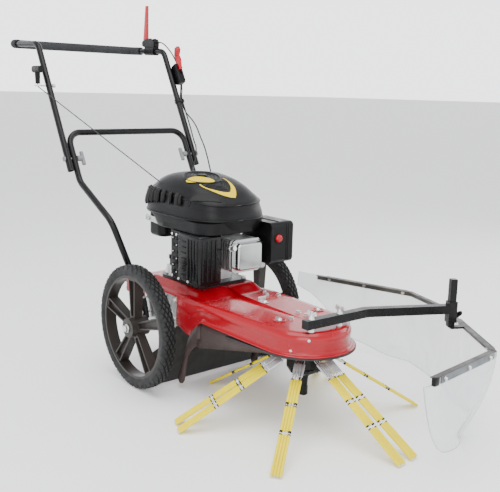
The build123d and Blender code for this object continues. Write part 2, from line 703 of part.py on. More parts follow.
AIRBOX_X = (85.0, 232.0)
AIRBOX_Y = (102.0, 202.0)
AIRBOX_Z = (400.0, 534.0)
AIRBOX_T = 3.0
BULB_R = 13.0
BULB = (AIRBOX_X[1] - 2.5, 133.0, 482.0)
box_centre = (sum(AIRBOX_X) / 2, AIRBOX_Y[0], sum(AIRBOX_Z) / 2)
box_face = Plane(origin=box_centre, x_dir=(-1, 0, 0), z_dir=(0, 1, 0))
box_long = AIRBOX_X[1] - AIRBOX_X[0]
box_tall = AIRBOX_Z[1] - AIRBOX_Z[0]
with BuildPart() as air_filter_box:
    with BuildSketch(box_face):
        RectangleRounded(box_long, box_tall, 14)
    extrude(amount=AIRBOX_Y[1] - AIRBOX_Y[0])
    fillet(air_filter_box.faces().sort_by(Axis.Y)[-1].edges(), 10)
    with BuildSketch(box_face.offset(AIRBOX_T)):
        RectangleRounded(box_long - 2 * AIRBOX_T, box_tall - 2 * AIRBOX_T, 11)
    extrude(amount=AIRBOX_Y[1] - AIRBOX_Y[0] - 2 * AIRBOX_T, mode=Mode.SUBTRACT)
    with BuildSketch(flat(160, 112, AIRBOX_Z[0] - 10)):
        Rectangle(54, 50)
    extrude(amount=78, mode=Mode.SUBTRACT)
    with BuildSketch(Plane(origin=BULB, x_dir=(0, 1, 0), z_dir=(1, 0, 0)).offset(-4)):
        Circle(BULB_R + CLEAR)
    extrude(amount=8, mode=Mode.SUBTRACT)
save(air_filter_box, "air_filter_box")

with BuildPart() as primer_bulb:
    with BuildSketch(Plane(origin=BULB, x_dir=(0, 1, 0), z_dir=(1, 0, 0))):
        Circle(BULB_R)
    extrude(amount=11)
    fillet(primer_bulb.faces().sort_by(Axis.X)[-1].edges(), 7)
save(primer_bulb, "primer_bulb")

# ---------------------------------------------------------------- crankshaft, pulleys, belt
BELT_HALF = 5.0


def pulley(x, pitch_r, bore_r):
    """V-belt pulley with a square-cut groove round a vertical shaft."""
    with BuildPart() as wheel:
        with BuildSketch(flat(x, 0, BELT_Z - 9)):
            Circle(pitch_r + 3)
            Circle(bore_r, mode=Mode.SUBTRACT)
        extrude(amount=18)
        with BuildSketch(flat(x, 0, BELT_Z - BELT_HALF - 0.4)):
            Circle(pitch_r + 4)
            Circle(pitch_r - 3.5, mode=Mode.SUBTRACT)
        extrude(amount=2 * BELT_HALF + 0.8, mode=Mode.SUBTRACT)
    return wheel


with BuildPart() as crankshaft:
    with BuildSketch(flat(ENGINE_X, 0, BELT_Z - 9)):
        Circle(11.06)
    extrude(amount=323)
save(crankshaft, "crankshaft")
save(pulley(ENGINE_X, CRANK_PITCH_R, 11.1), "crank_pulley")
save(pulley(BRUSH_X, BRUSH_PITCH_R, 10.05), "spindle_pulley")


def belt_loop(inset):
    """Outline of the belt run round both pulleys."""
    with BuildSketch(flat(0, 0, BELT_Z - BELT_HALF)) as loop:
        with Locations((ENGINE_X, 0)):
            Circle(CRANK_PITCH_R + inset)
        with Locations((BRUSH_X, 0)):
            Circle(BRUSH_PITCH_R + inset)
        make_hull()
    return loop.sketch


with BuildPart() as drive_belt:
    with BuildSketch(flat(0, 0, BELT_Z - BELT_HALF)):
        add(belt_loop(2.8))
        add(belt_loop(-3.1), mode=Mode.SUBTRACT)
    extrude(amount=2 * BELT_HALF)
save(drive_belt, "drive_belt")

# ---------------------------------------------------------------- spindle
with BuildPart() as spindle_housing:
    with BuildSketch(flat(BRUSH_X, 0, DECK_TOP - DECK_T - 6)):
        Circle(58)
        Circle(21.02, mode=Mode.SUBTRACT)
        with PolarLocations(42, 4, start_angle=45):
            Circle(BOLT_R + 0.3, mode=Mode.SUBTRACT)
    extrude(amount=6)
    with BuildSketch(flat(BRUSH_X, 0, 258)):
        Circle(29)
        Circle(21.02, mode=Mode.SUBTRACT)
    extrude(amount=DECK_TOP - DECK_T - 258)
save(spindle_housing, "spindle_housing")

with BuildPart() as spindle_bearings:
    for low in (260, 284):
        with BuildSketch(flat(BRUSH_X, 0, low)):
            Circle(21)
            Circle(10.05, mode=Mode.SUBTRACT)
        extrude(amount=12)
save(spindle_bearings, "spindle_bearings")

with BuildPart() as spindle_shaft:
    with BuildSketch(flat(BRUSH_X, 0, 92)):
        Circle(10)
    extrude(amount=208)
save(spindle_shaft, "spindle_shaft")

with BuildPart() as glide_cap:
    with BuildSketch(flat(BRUSH_X, 0, 75)):
        Circle(13.5)
    extrude(amount=26)
    with BuildSketch(flat(BRUSH_X, 0, 101)):
        Circle(12)
    extrude(amount=36, taper=-4)
    with BuildSketch(flat(BRUSH_X, 0, 92)):
        Circle(10.02)
    extrude(amount=60, mode=Mode.SUBTRACT)
    fillet(glide_cap.faces().sort_by(Axis.Z)[0].edges(), 4)
save(glide_cap, "glide_cap")

# ---------------------------------------------------------------- brush head
SINGLES = [66, 188, 306]
PAIRS = [4, 124, 244]
TIP_Z = 4.2
DROP = ROOT_Z - TIP_Z
REACH = BRUSH_R - ROOT_R
SLOPE = atan2(DROP, REACH)
RUN = sqrt(DROP ** 2 + REACH ** 2)
SPLAY = 2.0              # degrees that each bundle of a pair leans outward
SLEEVES = [(72, 152), (160, 240), (248, RUN)]


def bundle_planes():
    """Start plane of each bundle: local z along the bundle, local x level."""
    planes = []
    for angle in SINGLES:
        planes.append(bundle_plane(angle, 0.0, 0.0))
    for angle in PAIRS:
        planes.append(bundle_plane(angle, PAIR_HALF, SPLAY))
        planes.append(bundle_plane(angle, -PAIR_HALF, -SPLAY))
    return planes


def bundle_plane(angle, aside, lean):
    turn = radians(angle)
    heading = radians(angle + lean)
    x = BRUSH_X + ROOT_R * cos(turn) - aside * sin(turn)
    y = ROOT_R * sin(turn) + aside * cos(turn)
    level = (-sin(heading), cos(heading), 0)
    along = (cos(heading) * cos(SLOPE), sin(heading) * cos(SLOPE), -sin(SLOPE))
    return Plane(origin=(x, y, ROOT_Z), x_dir=level, z_dir=along)


BUNDLES = bundle_planes()

with BuildPart() as brush_hub:
    with BuildSketch(flat(BRUSH_X, 0, 168)):
        Circle(52)
        Circle(10.05, mode=Mode.SUBTRACT)
    extrude(amount=50)
    with BuildSketch(flat(BRUSH_X, 0, 216)):
        Circle(34)
        Circle(10.05, mode=Mode.SUBTRACT)
    extrude(amount=20.5)
    for start in BUNDLES:
        with BuildSketch(start.offset(-30)):
            SlotOverall(30, 13)
        extrude(amount=58, mode=Mode.SUBTRACT)
save(brush_hub, "brush_hub")

with BuildPart() as clamp_plate:
    with BuildSketch(flat(BRUSH_X, 0, 140)):
        RegularPolygon(56, 6, rotation=4)
        Circle(14.8, mode=Mode.SUBTRACT)
    extrude(amount=27.7)
save(clamp_plate, "clamp_plate")

with BuildPart() as brush_wires:
    for start in BUNDLES:
        with BuildSketch(start.offset(-14)):
            SlotOverall(23, 4)
        extrude(amount=RUN + 14)
save(brush_wires, "brush_wires")

with BuildPart() as brush_sleeves:
    for start in BUNDLES:
        for begin, finish in SLEEVES:
            with BuildSketch(start.offset(begin)):
                SlotOverall(26, 7.4)
                SlotOverall(23.2, 4.2, mode=Mode.SUBTRACT)
            extrude(amount=finish - begin - 3)
save(brush_sleeves, "brush_sleeves")

with BuildPart() as brush_ferrules:
    for start in BUNDLES:
        with BuildSketch(start.offset(14)):
            SlotOverall(29, 9)
            SlotOverall(23.2, 4.2, mode=Mode.SUBTRACT)
        extrude(amount=22)
save(brush_ferrules, "brush_ferrules")

# ---------------------------------------------------------------- guard arm
arm_turn = atan2(POST[1] - ARM_BEND[1], POST[0] - ARM_BEND[0])
SLEEVE_LOW = 284.0
SLEEVE_HIGH = 348.0


def square_plane(z):
    """Horizontal plane at the post, turned to the arm's direction."""
    return Plane(origin=(POST[0], POST[1], z), x_dir=(cos(arm_turn), sin(arm_turn), 0), z_dir=(0, 0, 1))


with BuildPart() as guard_arm:
    reach = 13.0
    arm_tip = (POST[0] - reach * cos(arm_turn), POST[1] - reach * sin(arm_turn), ARM_Z)
    with BuildLine() as arm_line:
        FilletPolyline((*ARM_END, ARM_Z), (*ARM_BEND, ARM_Z), arm_tip, radius=60)
    with BuildSketch(Plane(origin=arm_line.wires()[0] @ 0, x_dir=(0, 0, 1), z_dir=arm_line.wires()[0] % 0)):
        Rectangle(SLEEVE_SIDE, SLEEVE_SIDE)
    sweep(path=arm_line.wires()[0])
    with BuildSketch(square_plane(SLEEVE_LOW)):
        Rectangle(SLEEVE_SIDE + 1, SLEEVE_SIDE + 1)
    extrude(amount=SLEEVE_HIGH - SLEEVE_LOW)
    with BuildSketch(square_plane(SLEEVE_LOW - 1)):
        Rectangle(POST_SIDE + 0.6, POST_SIDE + 0.6)
    extrude(amount=SLEEVE_HIGH - SLEEVE_LOW + 2, mode=Mode.SUBTRACT)
    with BuildSketch(Plane.XY.offset(ARM_Z - 20)):
        with Locations(*ARM_BOLTS):
            Circle(BOLT_R + 0.2)
    extrude(amount=40, mode=Mode.SUBTRACT)
save(guard_arm, "guard_arm")

ARM_LOW = ARM_Z - SLEEVE_SIDE / 2
with BuildPart() as arm_spacers:
    with BuildSketch(Plane.XY.offset(DECK_TOP)):
        with Locations(*ARM_BOLTS):
            Circle(9)
            Circle(BOLT_R + 0.2, mode=Mode.SUBTRACT)
    extrude(amount=ARM_LOW - DECK_TOP)
save(arm_spacers, "arm_spacers")

with BuildPart() as hand_screws:
    arm_top = ARM_Z + SLEEVE_SIDE / 2
    for x, y in ARM_BOLTS:
        with BuildSketch(flat(x, y, DECK_TOP - DECK_T - 6)):
            RegularPolygon(7, 6)
        extrude(amount=6)
        with BuildSketch(flat(x, y, DECK_TOP - DECK_T - 3)):
            Circle(BOLT_R)
        extrude(amount=arm_top + 22 - DECK_TOP + DECK_T + 3)
        with BuildSketch(flat(x, y, arm_top)):
            Circle(9)
        extrude(amount=12, taper=14)
        with BuildSketch(Plane(origin=(x, y, arm_top + 5), x_dir=(1, 0, 0), z_dir=(0, -1, 0))):
            with BuildLine():
                Polyline((-4, 0), (-17, 8), (-14, 19), (-7, 15), (0, 6), (7, 15), (14, 19), (17, 8), (4, 0),
                         close=True)
            make_face()
        extrude(amount=2, both=True)
    outer = SLEEVE_SIDE / 2 + 0.5
    out_dir = (cos(arm_turn), sin(arm_turn), 0)
    face = Plane(origin=(POST[0], POST[1], 306), x_dir=(0, 0, 1), z_dir=out_dir)
    with BuildSketch(face.offset(outer)):
        Circle(8)
    extrude(amount=8)
    with BuildSketch(face.offset(outer + 7)):
        SlotOverall(40, 12, rotation=55)
    extrude(amount=7)
save(hand_screws, "hand_screws")

# ---------------------------------------------------------------- guard frame, post, sheet
BAR_LINE = [(46, 511), (411, 608), (590, 548), (938, 296), (962, -8)]
BAR_W = 18.0
BAR_T = 5.0
POST_TOP = 416.0

def band(thick, aside, points):
    """Closed outline of a strip of even thickness beside an open line."""
    corners = []
    for near in (aside - thick / 2, aside + thick / 2):
        side_line = []
        for index, point in enumerate(points):
            before = points[max(index - 1, 0)]
            after = points[min(index + 1, len(points) - 1)]
            first = Vector(point[0] - before[0], point[1] - before[1])
            second = Vector(after[0] - point[0], after[1] - point[1])
            first = first.normalized() if first.length > 0 else second.normalized()
            second = second.normalized() if second.length > 0 else first
            middle = (first + second).normalized()
            normal = Vector(-middle.Y, middle.X)
            stretch = near / max(0.2, middle.dot(first))
            side_line.append((point[0] + normal.X * stretch, point[1] + normal.Y * stretch))
        corners.append(side_line)
    return corners[0] + corners[1][::-1]


with BuildPart() as guard_frame:
    with BuildSketch(Plane.XY.offset(GUARD_Z - BAR_W / 2)):
        with BuildLine():
            Polyline(*band(BAR_T, 0, BAR_LINE), close=True)
        make_face()
    extrude(amount=BAR_W)
    with BuildSketch(Plane.XY.offset(GUARD_Z + 3.2)):
        with BuildLine():
            Polyline((718, 370), (742, 366), (776, 416), (752, 434), close=True)
        make_face()
    extrude(amount=5.8)
    with BuildSketch(square_plane(GUARD_Z + 8)):
        Rectangle(POST_SIDE, POST_SIDE)
    extrude(amount=POST_TOP - GUARD_Z - 8)
save(guard_frame, "guard_frame")

SHEET_ASIDE = BAR_T / 2 + SHEET_T / 2 + 0.2
with BuildPart() as guard_sheet:
    sheet_line = [(-40, 488), *BAR_LINE[1:-1], (963, -20)]
    with BuildSketch(Plane.XY.offset(SHEET_LOW)):
        with BuildLine():
            Polyline(*band(SHEET_T, SHEET_ASIDE, sheet_line), close=True)
        make_face()
    extrude(amount=GUARD_Z + 9 - SHEET_LOW)
    with BuildSketch(Plane(origin=(0, 480, 0), x_dir=(1, 0, 0), z_dir=(0, -1, 0))):
        with BuildLine():
            Polyline((-60, -10), (160, -10), (120, 40), (-60, 215), close=True)
        make_face()
    extrude(amount=-200, mode=Mode.SUBTRACT)
save(guard_sheet, "guard_sheet")


def along_bar(index, share):
    """Point on one frame bar, and the unit normal pointing outward."""
    a, b = BAR_LINE[index], BAR_LINE[index + 1]
    x = a[0] + share * (b[0] - a[0])
    y = a[1] + share * (b[1] - a[1])
    length = sqrt((b[0] - a[0]) ** 2 + (b[1] - a[1]) ** 2)
    return (x, y), (-(b[1] - a[1]) / length, (b[0] - a[0]) / length)


STRIP_SPANS = [(0, 0.10, 0.96), (2, 0.32, 0.95), (3, 0.06, 0.93)]
with BuildPart() as clamp_strips:
    for index, begin, finish in STRIP_SPANS:
        a, normal = along_bar(index, begin)
        b, normal = along_bar(index, finish)
        with BuildSketch(Plane.XY.offset(GUARD_Z - BAR_W / 2)):
            with BuildLine():
                Polyline(*band(2.0, BAR_T / 2 + SHEET_T + 1.6, [a, b]), close=True)
            make_face()
        extrude(amount=BAR_W)
save(clamp_strips, "clamp_strips")

SCREW_SPOTS = [(0, 0.14), (0, 0.52), (0, 0.92), (2, 0.36), (2, 0.9), (3, 0.14), (3, 0.5), (3, 0.88)]
with BuildPart() as guard_screws:
    strip_face = BAR_T / 2 + SHEET_T + 2.6
    for index, share in SCREW_SPOTS:
        (x, y), normal = along_bar(index, share)
        outward = (normal[0], normal[1], 0)
        seat = Plane(origin=(x, y, GUARD_Z), x_dir=(0, 0, 1), z_dir=outward)
        with BuildSketch(seat.offset(strip_face)):
            RegularPolygon(6.5, 6)
        extrude(amount=5)
        with BuildSketch(seat.offset(-BAR_T / 2 - 6)):
            RegularPolygon(6.5, 6)
        extrude(amount=6)
save(guard_screws, "guard_screws")

# ---------------------------------------------------------------- hexagon bolts
with BuildPart() as hex_bolts:
    m8 = hex_bolt(8, 10)
    with Locations(*[(x, y, DECK_TOP) for x, y in TOP_BOLTS]):
        add(m8)
    with Locations(*[(x, y, DECK_TOP) for x, y in SPINDLE_BOLTS]):
        add(m8)
    with Locations(*[(x, y, ENGINE_BASE + 9) for x, y in ENGINE_BOLTS]):
        add(hex_bolt(8, 20))
    for side in (1, -1):
        for x, z in BRACKET_BOLTS[:2]:
            seat = Plane(origin=(x, side * (DECK_SIDE + BRACKET_T), z), x_dir=(1, 0, 0), z_dir=(0, side, 0))
            add(hex_bolt(8, 14).moved(seat.location))
        for x, z in BRACKET_BOLTS[2:]:
            seat = Plane(origin=(x, side * 183.5, z), x_dir=(1, 0, 0), z_dir=(0, side, 0))
            add(hex_bolt(8, 42).moved(seat.location))
        end = Plane(origin=(0, side * (AXLE_HALF + 0.2), WHEEL_R), x_dir=(1, 0, 0), z_dir=(0, side, 0))
        add(hex_bolt(12, 0.1).moved(end.location))
save(hex_bolts, "hex_bolts")
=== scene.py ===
"""Looks of the walk-behind weed brush: materials, tread, brush strands, hood, cables and clear guard.

Metres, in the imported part's frame: +X forward, +Y to the machine's left, +Z up.
"""

from math import atan2, cos, degrees, pi, radians, sin, sqrt

import bmesh
import bpy
from mathutils import Matrix, Vector


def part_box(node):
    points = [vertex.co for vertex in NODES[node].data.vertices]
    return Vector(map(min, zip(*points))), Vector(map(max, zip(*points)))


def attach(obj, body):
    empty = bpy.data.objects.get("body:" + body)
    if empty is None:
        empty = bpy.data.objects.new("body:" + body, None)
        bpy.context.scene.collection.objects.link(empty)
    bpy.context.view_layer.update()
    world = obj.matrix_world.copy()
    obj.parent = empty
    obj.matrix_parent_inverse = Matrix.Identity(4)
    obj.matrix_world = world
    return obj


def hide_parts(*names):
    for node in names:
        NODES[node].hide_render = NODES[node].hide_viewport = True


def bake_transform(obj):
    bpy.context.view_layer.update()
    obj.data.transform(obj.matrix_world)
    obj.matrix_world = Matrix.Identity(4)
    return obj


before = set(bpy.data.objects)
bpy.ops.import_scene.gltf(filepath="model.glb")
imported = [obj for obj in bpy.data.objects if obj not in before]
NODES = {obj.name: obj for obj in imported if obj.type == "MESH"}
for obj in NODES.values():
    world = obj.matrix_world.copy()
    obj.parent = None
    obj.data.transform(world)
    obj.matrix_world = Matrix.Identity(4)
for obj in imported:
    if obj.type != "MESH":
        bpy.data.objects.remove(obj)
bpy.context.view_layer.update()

# ---------------------------------------------------------------- camera
CAMERA_PLACE = Vector((1.9811, -1.4718, 0.9440))
YAW, PITCH, ROLL = 0.7039, 0.2033, 0.0237
toward = Vector((-cos(YAW) * cos(PITCH), sin(YAW) * cos(PITCH), -sin(PITCH)))
right = toward.cross(Vector((0, 0, 1))).normalized()
over = right.cross(toward)
right, over = right * cos(ROLL) + over * sin(ROLL), over * cos(ROLL) - right * sin(ROLL)
lens_data = bpy.data.cameras.new("camera")
lens_data.lens = 54.08
lens_data.sensor_width = 36
camera = bpy.data.objects.new("camera", lens_data)
camera.matrix_world = Matrix.Translation(CAMERA_PLACE) @ Matrix((right, over, -toward)).transposed().to_4x4()
bpy.context.scene.collection.objects.link(camera)
bpy.context.scene.camera = camera

# ---------------------------------------------------------------- driving sizes
WHEEL_R = 0.200
TRACK_HALF = 0.258
RIM_R = 0.166
DECK_TOP = 0.302
BRUSH_X = 0.504
BRUSH_R = 0.376
ROOT_R = 0.062
ROOT_Z = 0.203
TIP_Z = 0.0042
PAIR_HALF = 0.017
SPLAY = 2.0
SINGLES = (66, 188, 306)
PAIRS = (4, 124, 244)
HOOD_C = Vector((0.002, 0.003, 0.545))
HOOD_HALF = Vector((0.204, 0.143, 0.134))
GUARD_Z = 0.262
BAR_T = 0.005
BAR_LINE = [(0.046, 0.511), (0.411, 0.608), (0.590, 0.548), (0.938, 0.296), (0.962, -0.008)]


# ---------------------------------------------------------------- materials
def material(name, color, rough, metal=0.0, coat=0.0, mottle=0.0, mottle_scale=40.0, bump=0.0,
             bump_scale=300.0, dirt=0.0, alpha=1.0, specular=0.5):
    """Principled material with noise in its colour, roughness and surface."""
    made = bpy.data.materials.new(name)
    made.use_nodes = True
    tree = made.node_tree
    shader = tree.nodes["Principled BSDF"]
    shader.inputs["Base Color"].default_value = (*color, 1)
    shader.inputs["Metallic"].default_value = metal
    shader.inputs["Roughness"].default_value = rough
    shader.inputs["Coat Weight"].default_value = coat
    shader.inputs["Coat Roughness"].default_value = 0.06
    shader.inputs["Specular IOR Level"].default_value = specular
    shader.inputs["Alpha"].default_value = alpha
    place = tree.nodes.new("ShaderNodeTexCoord")
    if mottle > 0:
        noise = tree.nodes.new("ShaderNodeTexNoise")
        noise.inputs["Scale"].default_value = mottle_scale
        noise.inputs["Detail"].default_value = 6
        tree.links.new(place.outputs["Object"], noise.inputs["Vector"])
        spread = tree.nodes.new("ShaderNodeMapRange")
        spread.inputs["From Min"].default_value = 0.3
        spread.inputs["From Max"].default_value = 0.7
        spread.inputs["To Min"].default_value = max(0.02, rough - mottle)
        spread.inputs["To Max"].default_value = min(1.0, rough + mottle)
        tree.links.new(noise.outputs["Fac"], spread.inputs["Value"])
        tree.links.new(spread.outputs["Result"], shader.inputs["Roughness"])
    if dirt > 0:
        clouds = tree.nodes.new("ShaderNodeTexNoise")
        clouds.inputs["Scale"].default_value = 9
        clouds.inputs["Detail"].default_value = 8
        tree.links.new(place.outputs["Object"], clouds.inputs["Vector"])
        ramp = tree.nodes.new("ShaderNodeValToRGB")
        ramp.color_ramp.elements[0].position = 0.35
        ramp.color_ramp.elements[0].color = (*[c * (1 - dirt) for c in color], 1)
        ramp.color_ramp.elements[1].position = 0.65
        ramp.color_ramp.elements[1].color = (*[min(1.0, c * (1 + dirt) + dirt * 0.01) for c in color], 1)
        tree.links.new(clouds.outputs["Fac"], ramp.inputs["Fac"])
        tree.links.new(ramp.outputs["Color"], shader.inputs["Base Color"])
    if bump > 0:
        grain = tree.nodes.new("ShaderNodeTexNoise")
        grain.inputs["Scale"].default_value = bump_scale
        grain.inputs["Detail"].default_value = 4
        tree.links.new(place.outputs["Object"], grain.inputs["Vector"])
        relief = tree.nodes.new("ShaderNodeBump")
        relief.inputs["Strength"].default_value = bump
        relief.inputs["Distance"].default_value = 0.001
        tree.links.new(grain.outputs["Fac"], relief.inputs["Height"])
        tree.links.new(relief.outputs["Normal"], shader.inputs["Normal"])
    return made


RED_PAINT = material("red_paint", (0.30, 0.0, 0.007), 0.24, coat=0.30, mottle=0.05, bump=0.03,
                     bump_scale=260, dirt=0.05, specular=0.25)
BLACK_PAINT = material("black_paint", (0.0025, 0.0025, 0.003), 0.28, coat=0.06, specular=0.2, mottle=0.08,
                       bump=0.06, bump_scale=500)
ZINC = material("zinc", (0.62, 0.63, 0.62), 0.34, metal=1.0, mottle=0.12, mottle_scale=120, bump=0.1,
                dirt=0.12)
GALVANISED = material("galvanised", (0.17, 0.18, 0.19), 0.46, metal=0.9, mottle=0.15, mottle_scale=60,
                      bump=0.15, dirt=0.22)
BRIGHT_STEEL = material("bright_steel", (0.76, 0.76, 0.75), 0.2, metal=1.0, mottle=0.08, mottle_scale=200)
DARK_STEEL = material("dark_steel", (0.10, 0.095, 0.09), 0.45, metal=0.9, mottle=0.15, dirt=0.3)
FERRULE_ZINC = material("ferrule_zinc", (0.50, 0.50, 0.50), 0.45, metal=0.55, mottle=0.1, bump=0.1, dirt=0.1)
CAST_ALLOY = material("cast_alloy", (0.55, 0.55, 0.55), 0.42, metal=1.0, mottle=0.15, bump=0.5,
                      bump_scale=700, dirt=0.15)
CHROME = material("chrome", (0.52, 0.53, 0.53), 0.16, metal=1.0, mottle=0.05, mottle_scale=25)
CAST_IRON = material("cast_iron", (0.09, 0.09, 0.095), 0.6, metal=0.7, mottle=0.2, bump=0.6, bump_scale=400)
BLACK_PLASTIC = material("black_plastic", (0.003, 0.003, 0.0035), 0.34, specular=0.18, mottle=0.08,
                         bump=0.12, bump_scale=900, dirt=0.1)
HOOD_PLASTIC = material("hood_plastic", (0.003, 0.003, 0.0035), 0.36, specular=0.18, mottle=0.06, bump=0.2,
                        bump_scale=1400, dirt=0.08)
GREY_PLASTIC = material("grey_plastic", (0.16, 0.165, 0.17), 0.5, mottle=0.08, bump=0.15, dirt=0.08)
WHITE_PLASTIC = material("white_plastic", (0.82, 0.82, 0.80), 0.4, mottle=0.08, dirt=0.04)
RED_PLASTIC = material("red_plastic", (0.36, 0.0, 0.006), 0.26, coat=0.2, specular=0.3, mottle=0.05,
                       bump=0.05, dirt=0.06)
RIM_PLASTIC = material("rim_plastic", (0.022, 0.018, 0.016), 0.42, specular=0.35, mottle=0.08,
                       bump=0.14, bump_scale=700, dirt=0.14)
TYRE_RUBBER = material("tyre_rubber", (0.010, 0.010, 0.0105), 0.62, specular=0.3, mottle=0.12,
                       bump=0.3, bump_scale=500, dirt=0.2)
BLACK_RUBBER = material("black_rubber", (0.010, 0.010, 0.010), 0.6, mottle=0.12, bump=0.2,
                        bump_scale=420, dirt=0.2)
BROWN_RUBBER = material("brown_rubber", (0.040, 0.026, 0.024), 0.5, specular=0.3, mottle=0.12, bump=0.16,
                        bump_scale=300, dirt=0.18)
FOAM = material("foam", (0.017, 0.018, 0.020), 0.95, mottle=0.05, bump=1.0, bump_scale=1300, dirt=0.15)
ROPE = material("rope", (0.02, 0.02, 0.021), 0.8, bump=0.8, bump_scale=1500)
YELLOW = material("yellow_sleeve", (0.74, 0.60, 0.0), 0.34, coat=0.0, specular=0.12, mottle=0.06, dirt=0.05)
BADGE_YELLOW = material("badge_yellow", (0.62, 0.46, 0.0), 0.35, specular=0.3, mottle=0.05)
# Flat black: painted shade in the hood's recess, inlet and slots and in the muffler cage's holes; also the
# black bands at the sleeve ends
SHADE_AND_BAND_BLACK = material("slot_black", (0.0015, 0.0015, 0.0015), 0.8)
FLOOR = material("floor", (0.93, 0.94, 0.93), 0.55, mottle=0.05, mottle_scale=3)


def clear_vinyl():
    """Clear flexible sheet: mostly see-through, with a faint cloudy haze and a shine."""
    made = bpy.data.materials.new("clear_vinyl")
    made.use_nodes = True
    tree = made.node_tree
    shader = tree.nodes["Principled BSDF"]
    shader.inputs["Base Color"].default_value = (0.66, 0.69, 0.71, 1)
    shader.inputs["Roughness"].default_value = 0.12
    shader.inputs["Specular IOR Level"].default_value = 0.7
    place = tree.nodes.new("ShaderNodeTexCoord")
    haze = tree.nodes.new("ShaderNodeTexNoise")
    haze.inputs["Scale"].default_value = 6
    haze.inputs["Detail"].default_value = 5
    haze.inputs["Distortion"].default_value = 1.2
    tree.links.new(place.outputs["Object"], haze.inputs["Vector"])
    spread = tree.nodes.new("ShaderNodeMapRange")
    spread.inputs["From Min"].default_value = 0.3
    spread.inputs["From Max"].default_value = 0.7
    spread.inputs["To Min"].default_value = 0.36
    spread.inputs["To Max"].default_value = 0.62
    tree.links.new(haze.outputs["Fac"], spread.inputs["Value"])
    tree.links.new(spread.outputs["Result"], shader.inputs["Alpha"])
    waves = tree.nodes.new("ShaderNodeBump")
    waves.inputs["Strength"].default_value = 0.5
    waves.inputs["Distance"].default_value = 0.004
    tree.links.new(haze.outputs["Fac"], waves.inputs["Height"])
    tree.links.new(waves.outputs["Normal"], shader.inputs["Normal"])
    return made


VINYL = clear_vinyl()
VINYL_EDGE = material("vinyl_edge", (0.42, 0.44, 0.46), 0.3, alpha=0.75, mottle=0.05)

CAD_LOOKS = {
    BLACK_PAINT: ["lower_handle", "upper_handle", "guard_arm"],
    ZINC: ["axle", "axle_brackets", "hex_bolts", "spark_plug", "rope_guide", "guard_screws"],
    GALVANISED: ["clamp_strips"],
    BRIGHT_STEEL: ["spindle_bearings", "crankshaft", "spindle_shaft"],
    DARK_STEEL: ["muffler", "crank_pulley", "spindle_pulley"],
    CAST_ALLOY: ["engine_block", "carburettor", "flywheel"],
    CHROME: ["valve_cover"],
    CAST_IRON: ["spindle_housing"],
    BLACK_PLASTIC: ["blower_base", "fuel_tank", "fuel_cap", "dipstick", "air_filter_box",
                    "hand_screws", "lever_bracket", "throttle_housing", "cable_clip", "starter_grip",
                    "brush_hub", "glide_cap"],
    GREY_PLASTIC: ["handle_knobs", "starter_spool"],
    WHITE_PLASTIC: ["arm_spacers"],
    RED_PLASTIC: ["brake_lever", "throttle_lever", "primer_bulb"],
    RIM_PLASTIC: ["rim_left", "rim_right"],
    BLACK_RUBBER: ["edge_trim", "rear_flap", "drive_belt"],
    FOAM: ["foam_grip"],
}
for look, names in CAD_LOOKS.items():
    for node_name in names:
        NODES[node_name].data.materials.clear()
        NODES[node_name].data.materials.append(look)


# ---------------------------------------------------------------- mesh helpers
def piece(name, verts, faces, look, body, smooth=True):
    """Mesh object on a CAD body."""
    mesh = bpy.data.meshes.new(name)
    mesh.from_pydata([tuple(v) for v in verts], [], faces)
    mesh.validate()
    if smooth:
        for face in mesh.polygons:
            face.use_smooth = True
    mesh.materials.append(look)
    made = bpy.data.objects.new(name, mesh)
    bpy.context.scene.collection.objects.link(made)
    if body:
        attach(made, body)
    return made


def rings(loops, closed_ends=True, closed_loop=True):
    """Vertices and faces of a skin over a list of equal loops."""
    verts = [v for loop in loops for v in loop]
    count = len(loops[0])
    span = count if closed_loop else count - 1
    faces = []
    for i in range(len(loops) - 1):
        for j in range(span):
            a = i * count + j
            b = i * count + (j + 1) % count
            faces.append((a, b, b + count, a + count))
    if closed_ends:
        faces.append(tuple(range(count))[::-1])
        last = (len(loops) - 1) * count
        faces.append(tuple(range(last, last + count)))
    return verts, faces


def join(parts):
    """One vertex and face list from several."""
    verts, faces = [], []
    for more_verts, more_faces in parts:
        shift = len(verts)
        verts.extend(more_verts)
        faces.extend(tuple(i + shift for i in face) for face in more_faces)
    return verts, faces


def frames_along(points):
    """Two cross directions at each point of a line, turned as little as possible."""
    points = [Vector(p) for p in points]
    result = []
    side = None
    for i, point in enumerate(points):
        ahead = points[min(i + 1, len(points) - 1)] - points[max(i - 1, 0)]
        ahead.normalize()
        if side is None:
            side = ahead.cross(Vector((0, 0, 1)) if abs(ahead.z) < 0.9 else Vector((1, 0, 0)))
        side = (side - ahead * side.dot(ahead)).normalized()
        result.append((point, side, ahead.cross(side)))
    return result


def tube(points, radius, sides=12):
    """Round tube along points. radius is one number or one for each point."""
    loops = []
    for i, (point, side, up) in enumerate(frames_along(points)):
        r = radius[i] if hasattr(radius, "__len__") else radius
        loops.append([point + side * (r * cos(2 * pi * k / sides)) + up * (r * sin(2 * pi * k / sides))
                      for k in range(sides)])
    return rings(loops)


def rounded_route(points, steps=8):
    """Quadratic curve that starts and ends on the first and last points and rounds the others."""
    points = [Vector(p) for p in points]
    line = [points[0]]
    for i in range(1, len(points) - 1):
        start = points[0] if i == 1 else (points[i - 1] + points[i]) / 2
        finish = points[-1] if i == len(points) - 2 else (points[i] + points[i + 1]) / 2
        for k in range(1, steps + 1):
            t = k / steps
            line.append(start * (1 - t) ** 2 + points[i] * (2 * t * (1 - t)) + finish * t ** 2)
    return line


def line_length(points):
    """Length of a line from point to point."""
    return sum((Vector(b) - Vector(a)).length for a, b in zip(points, points[1:]))


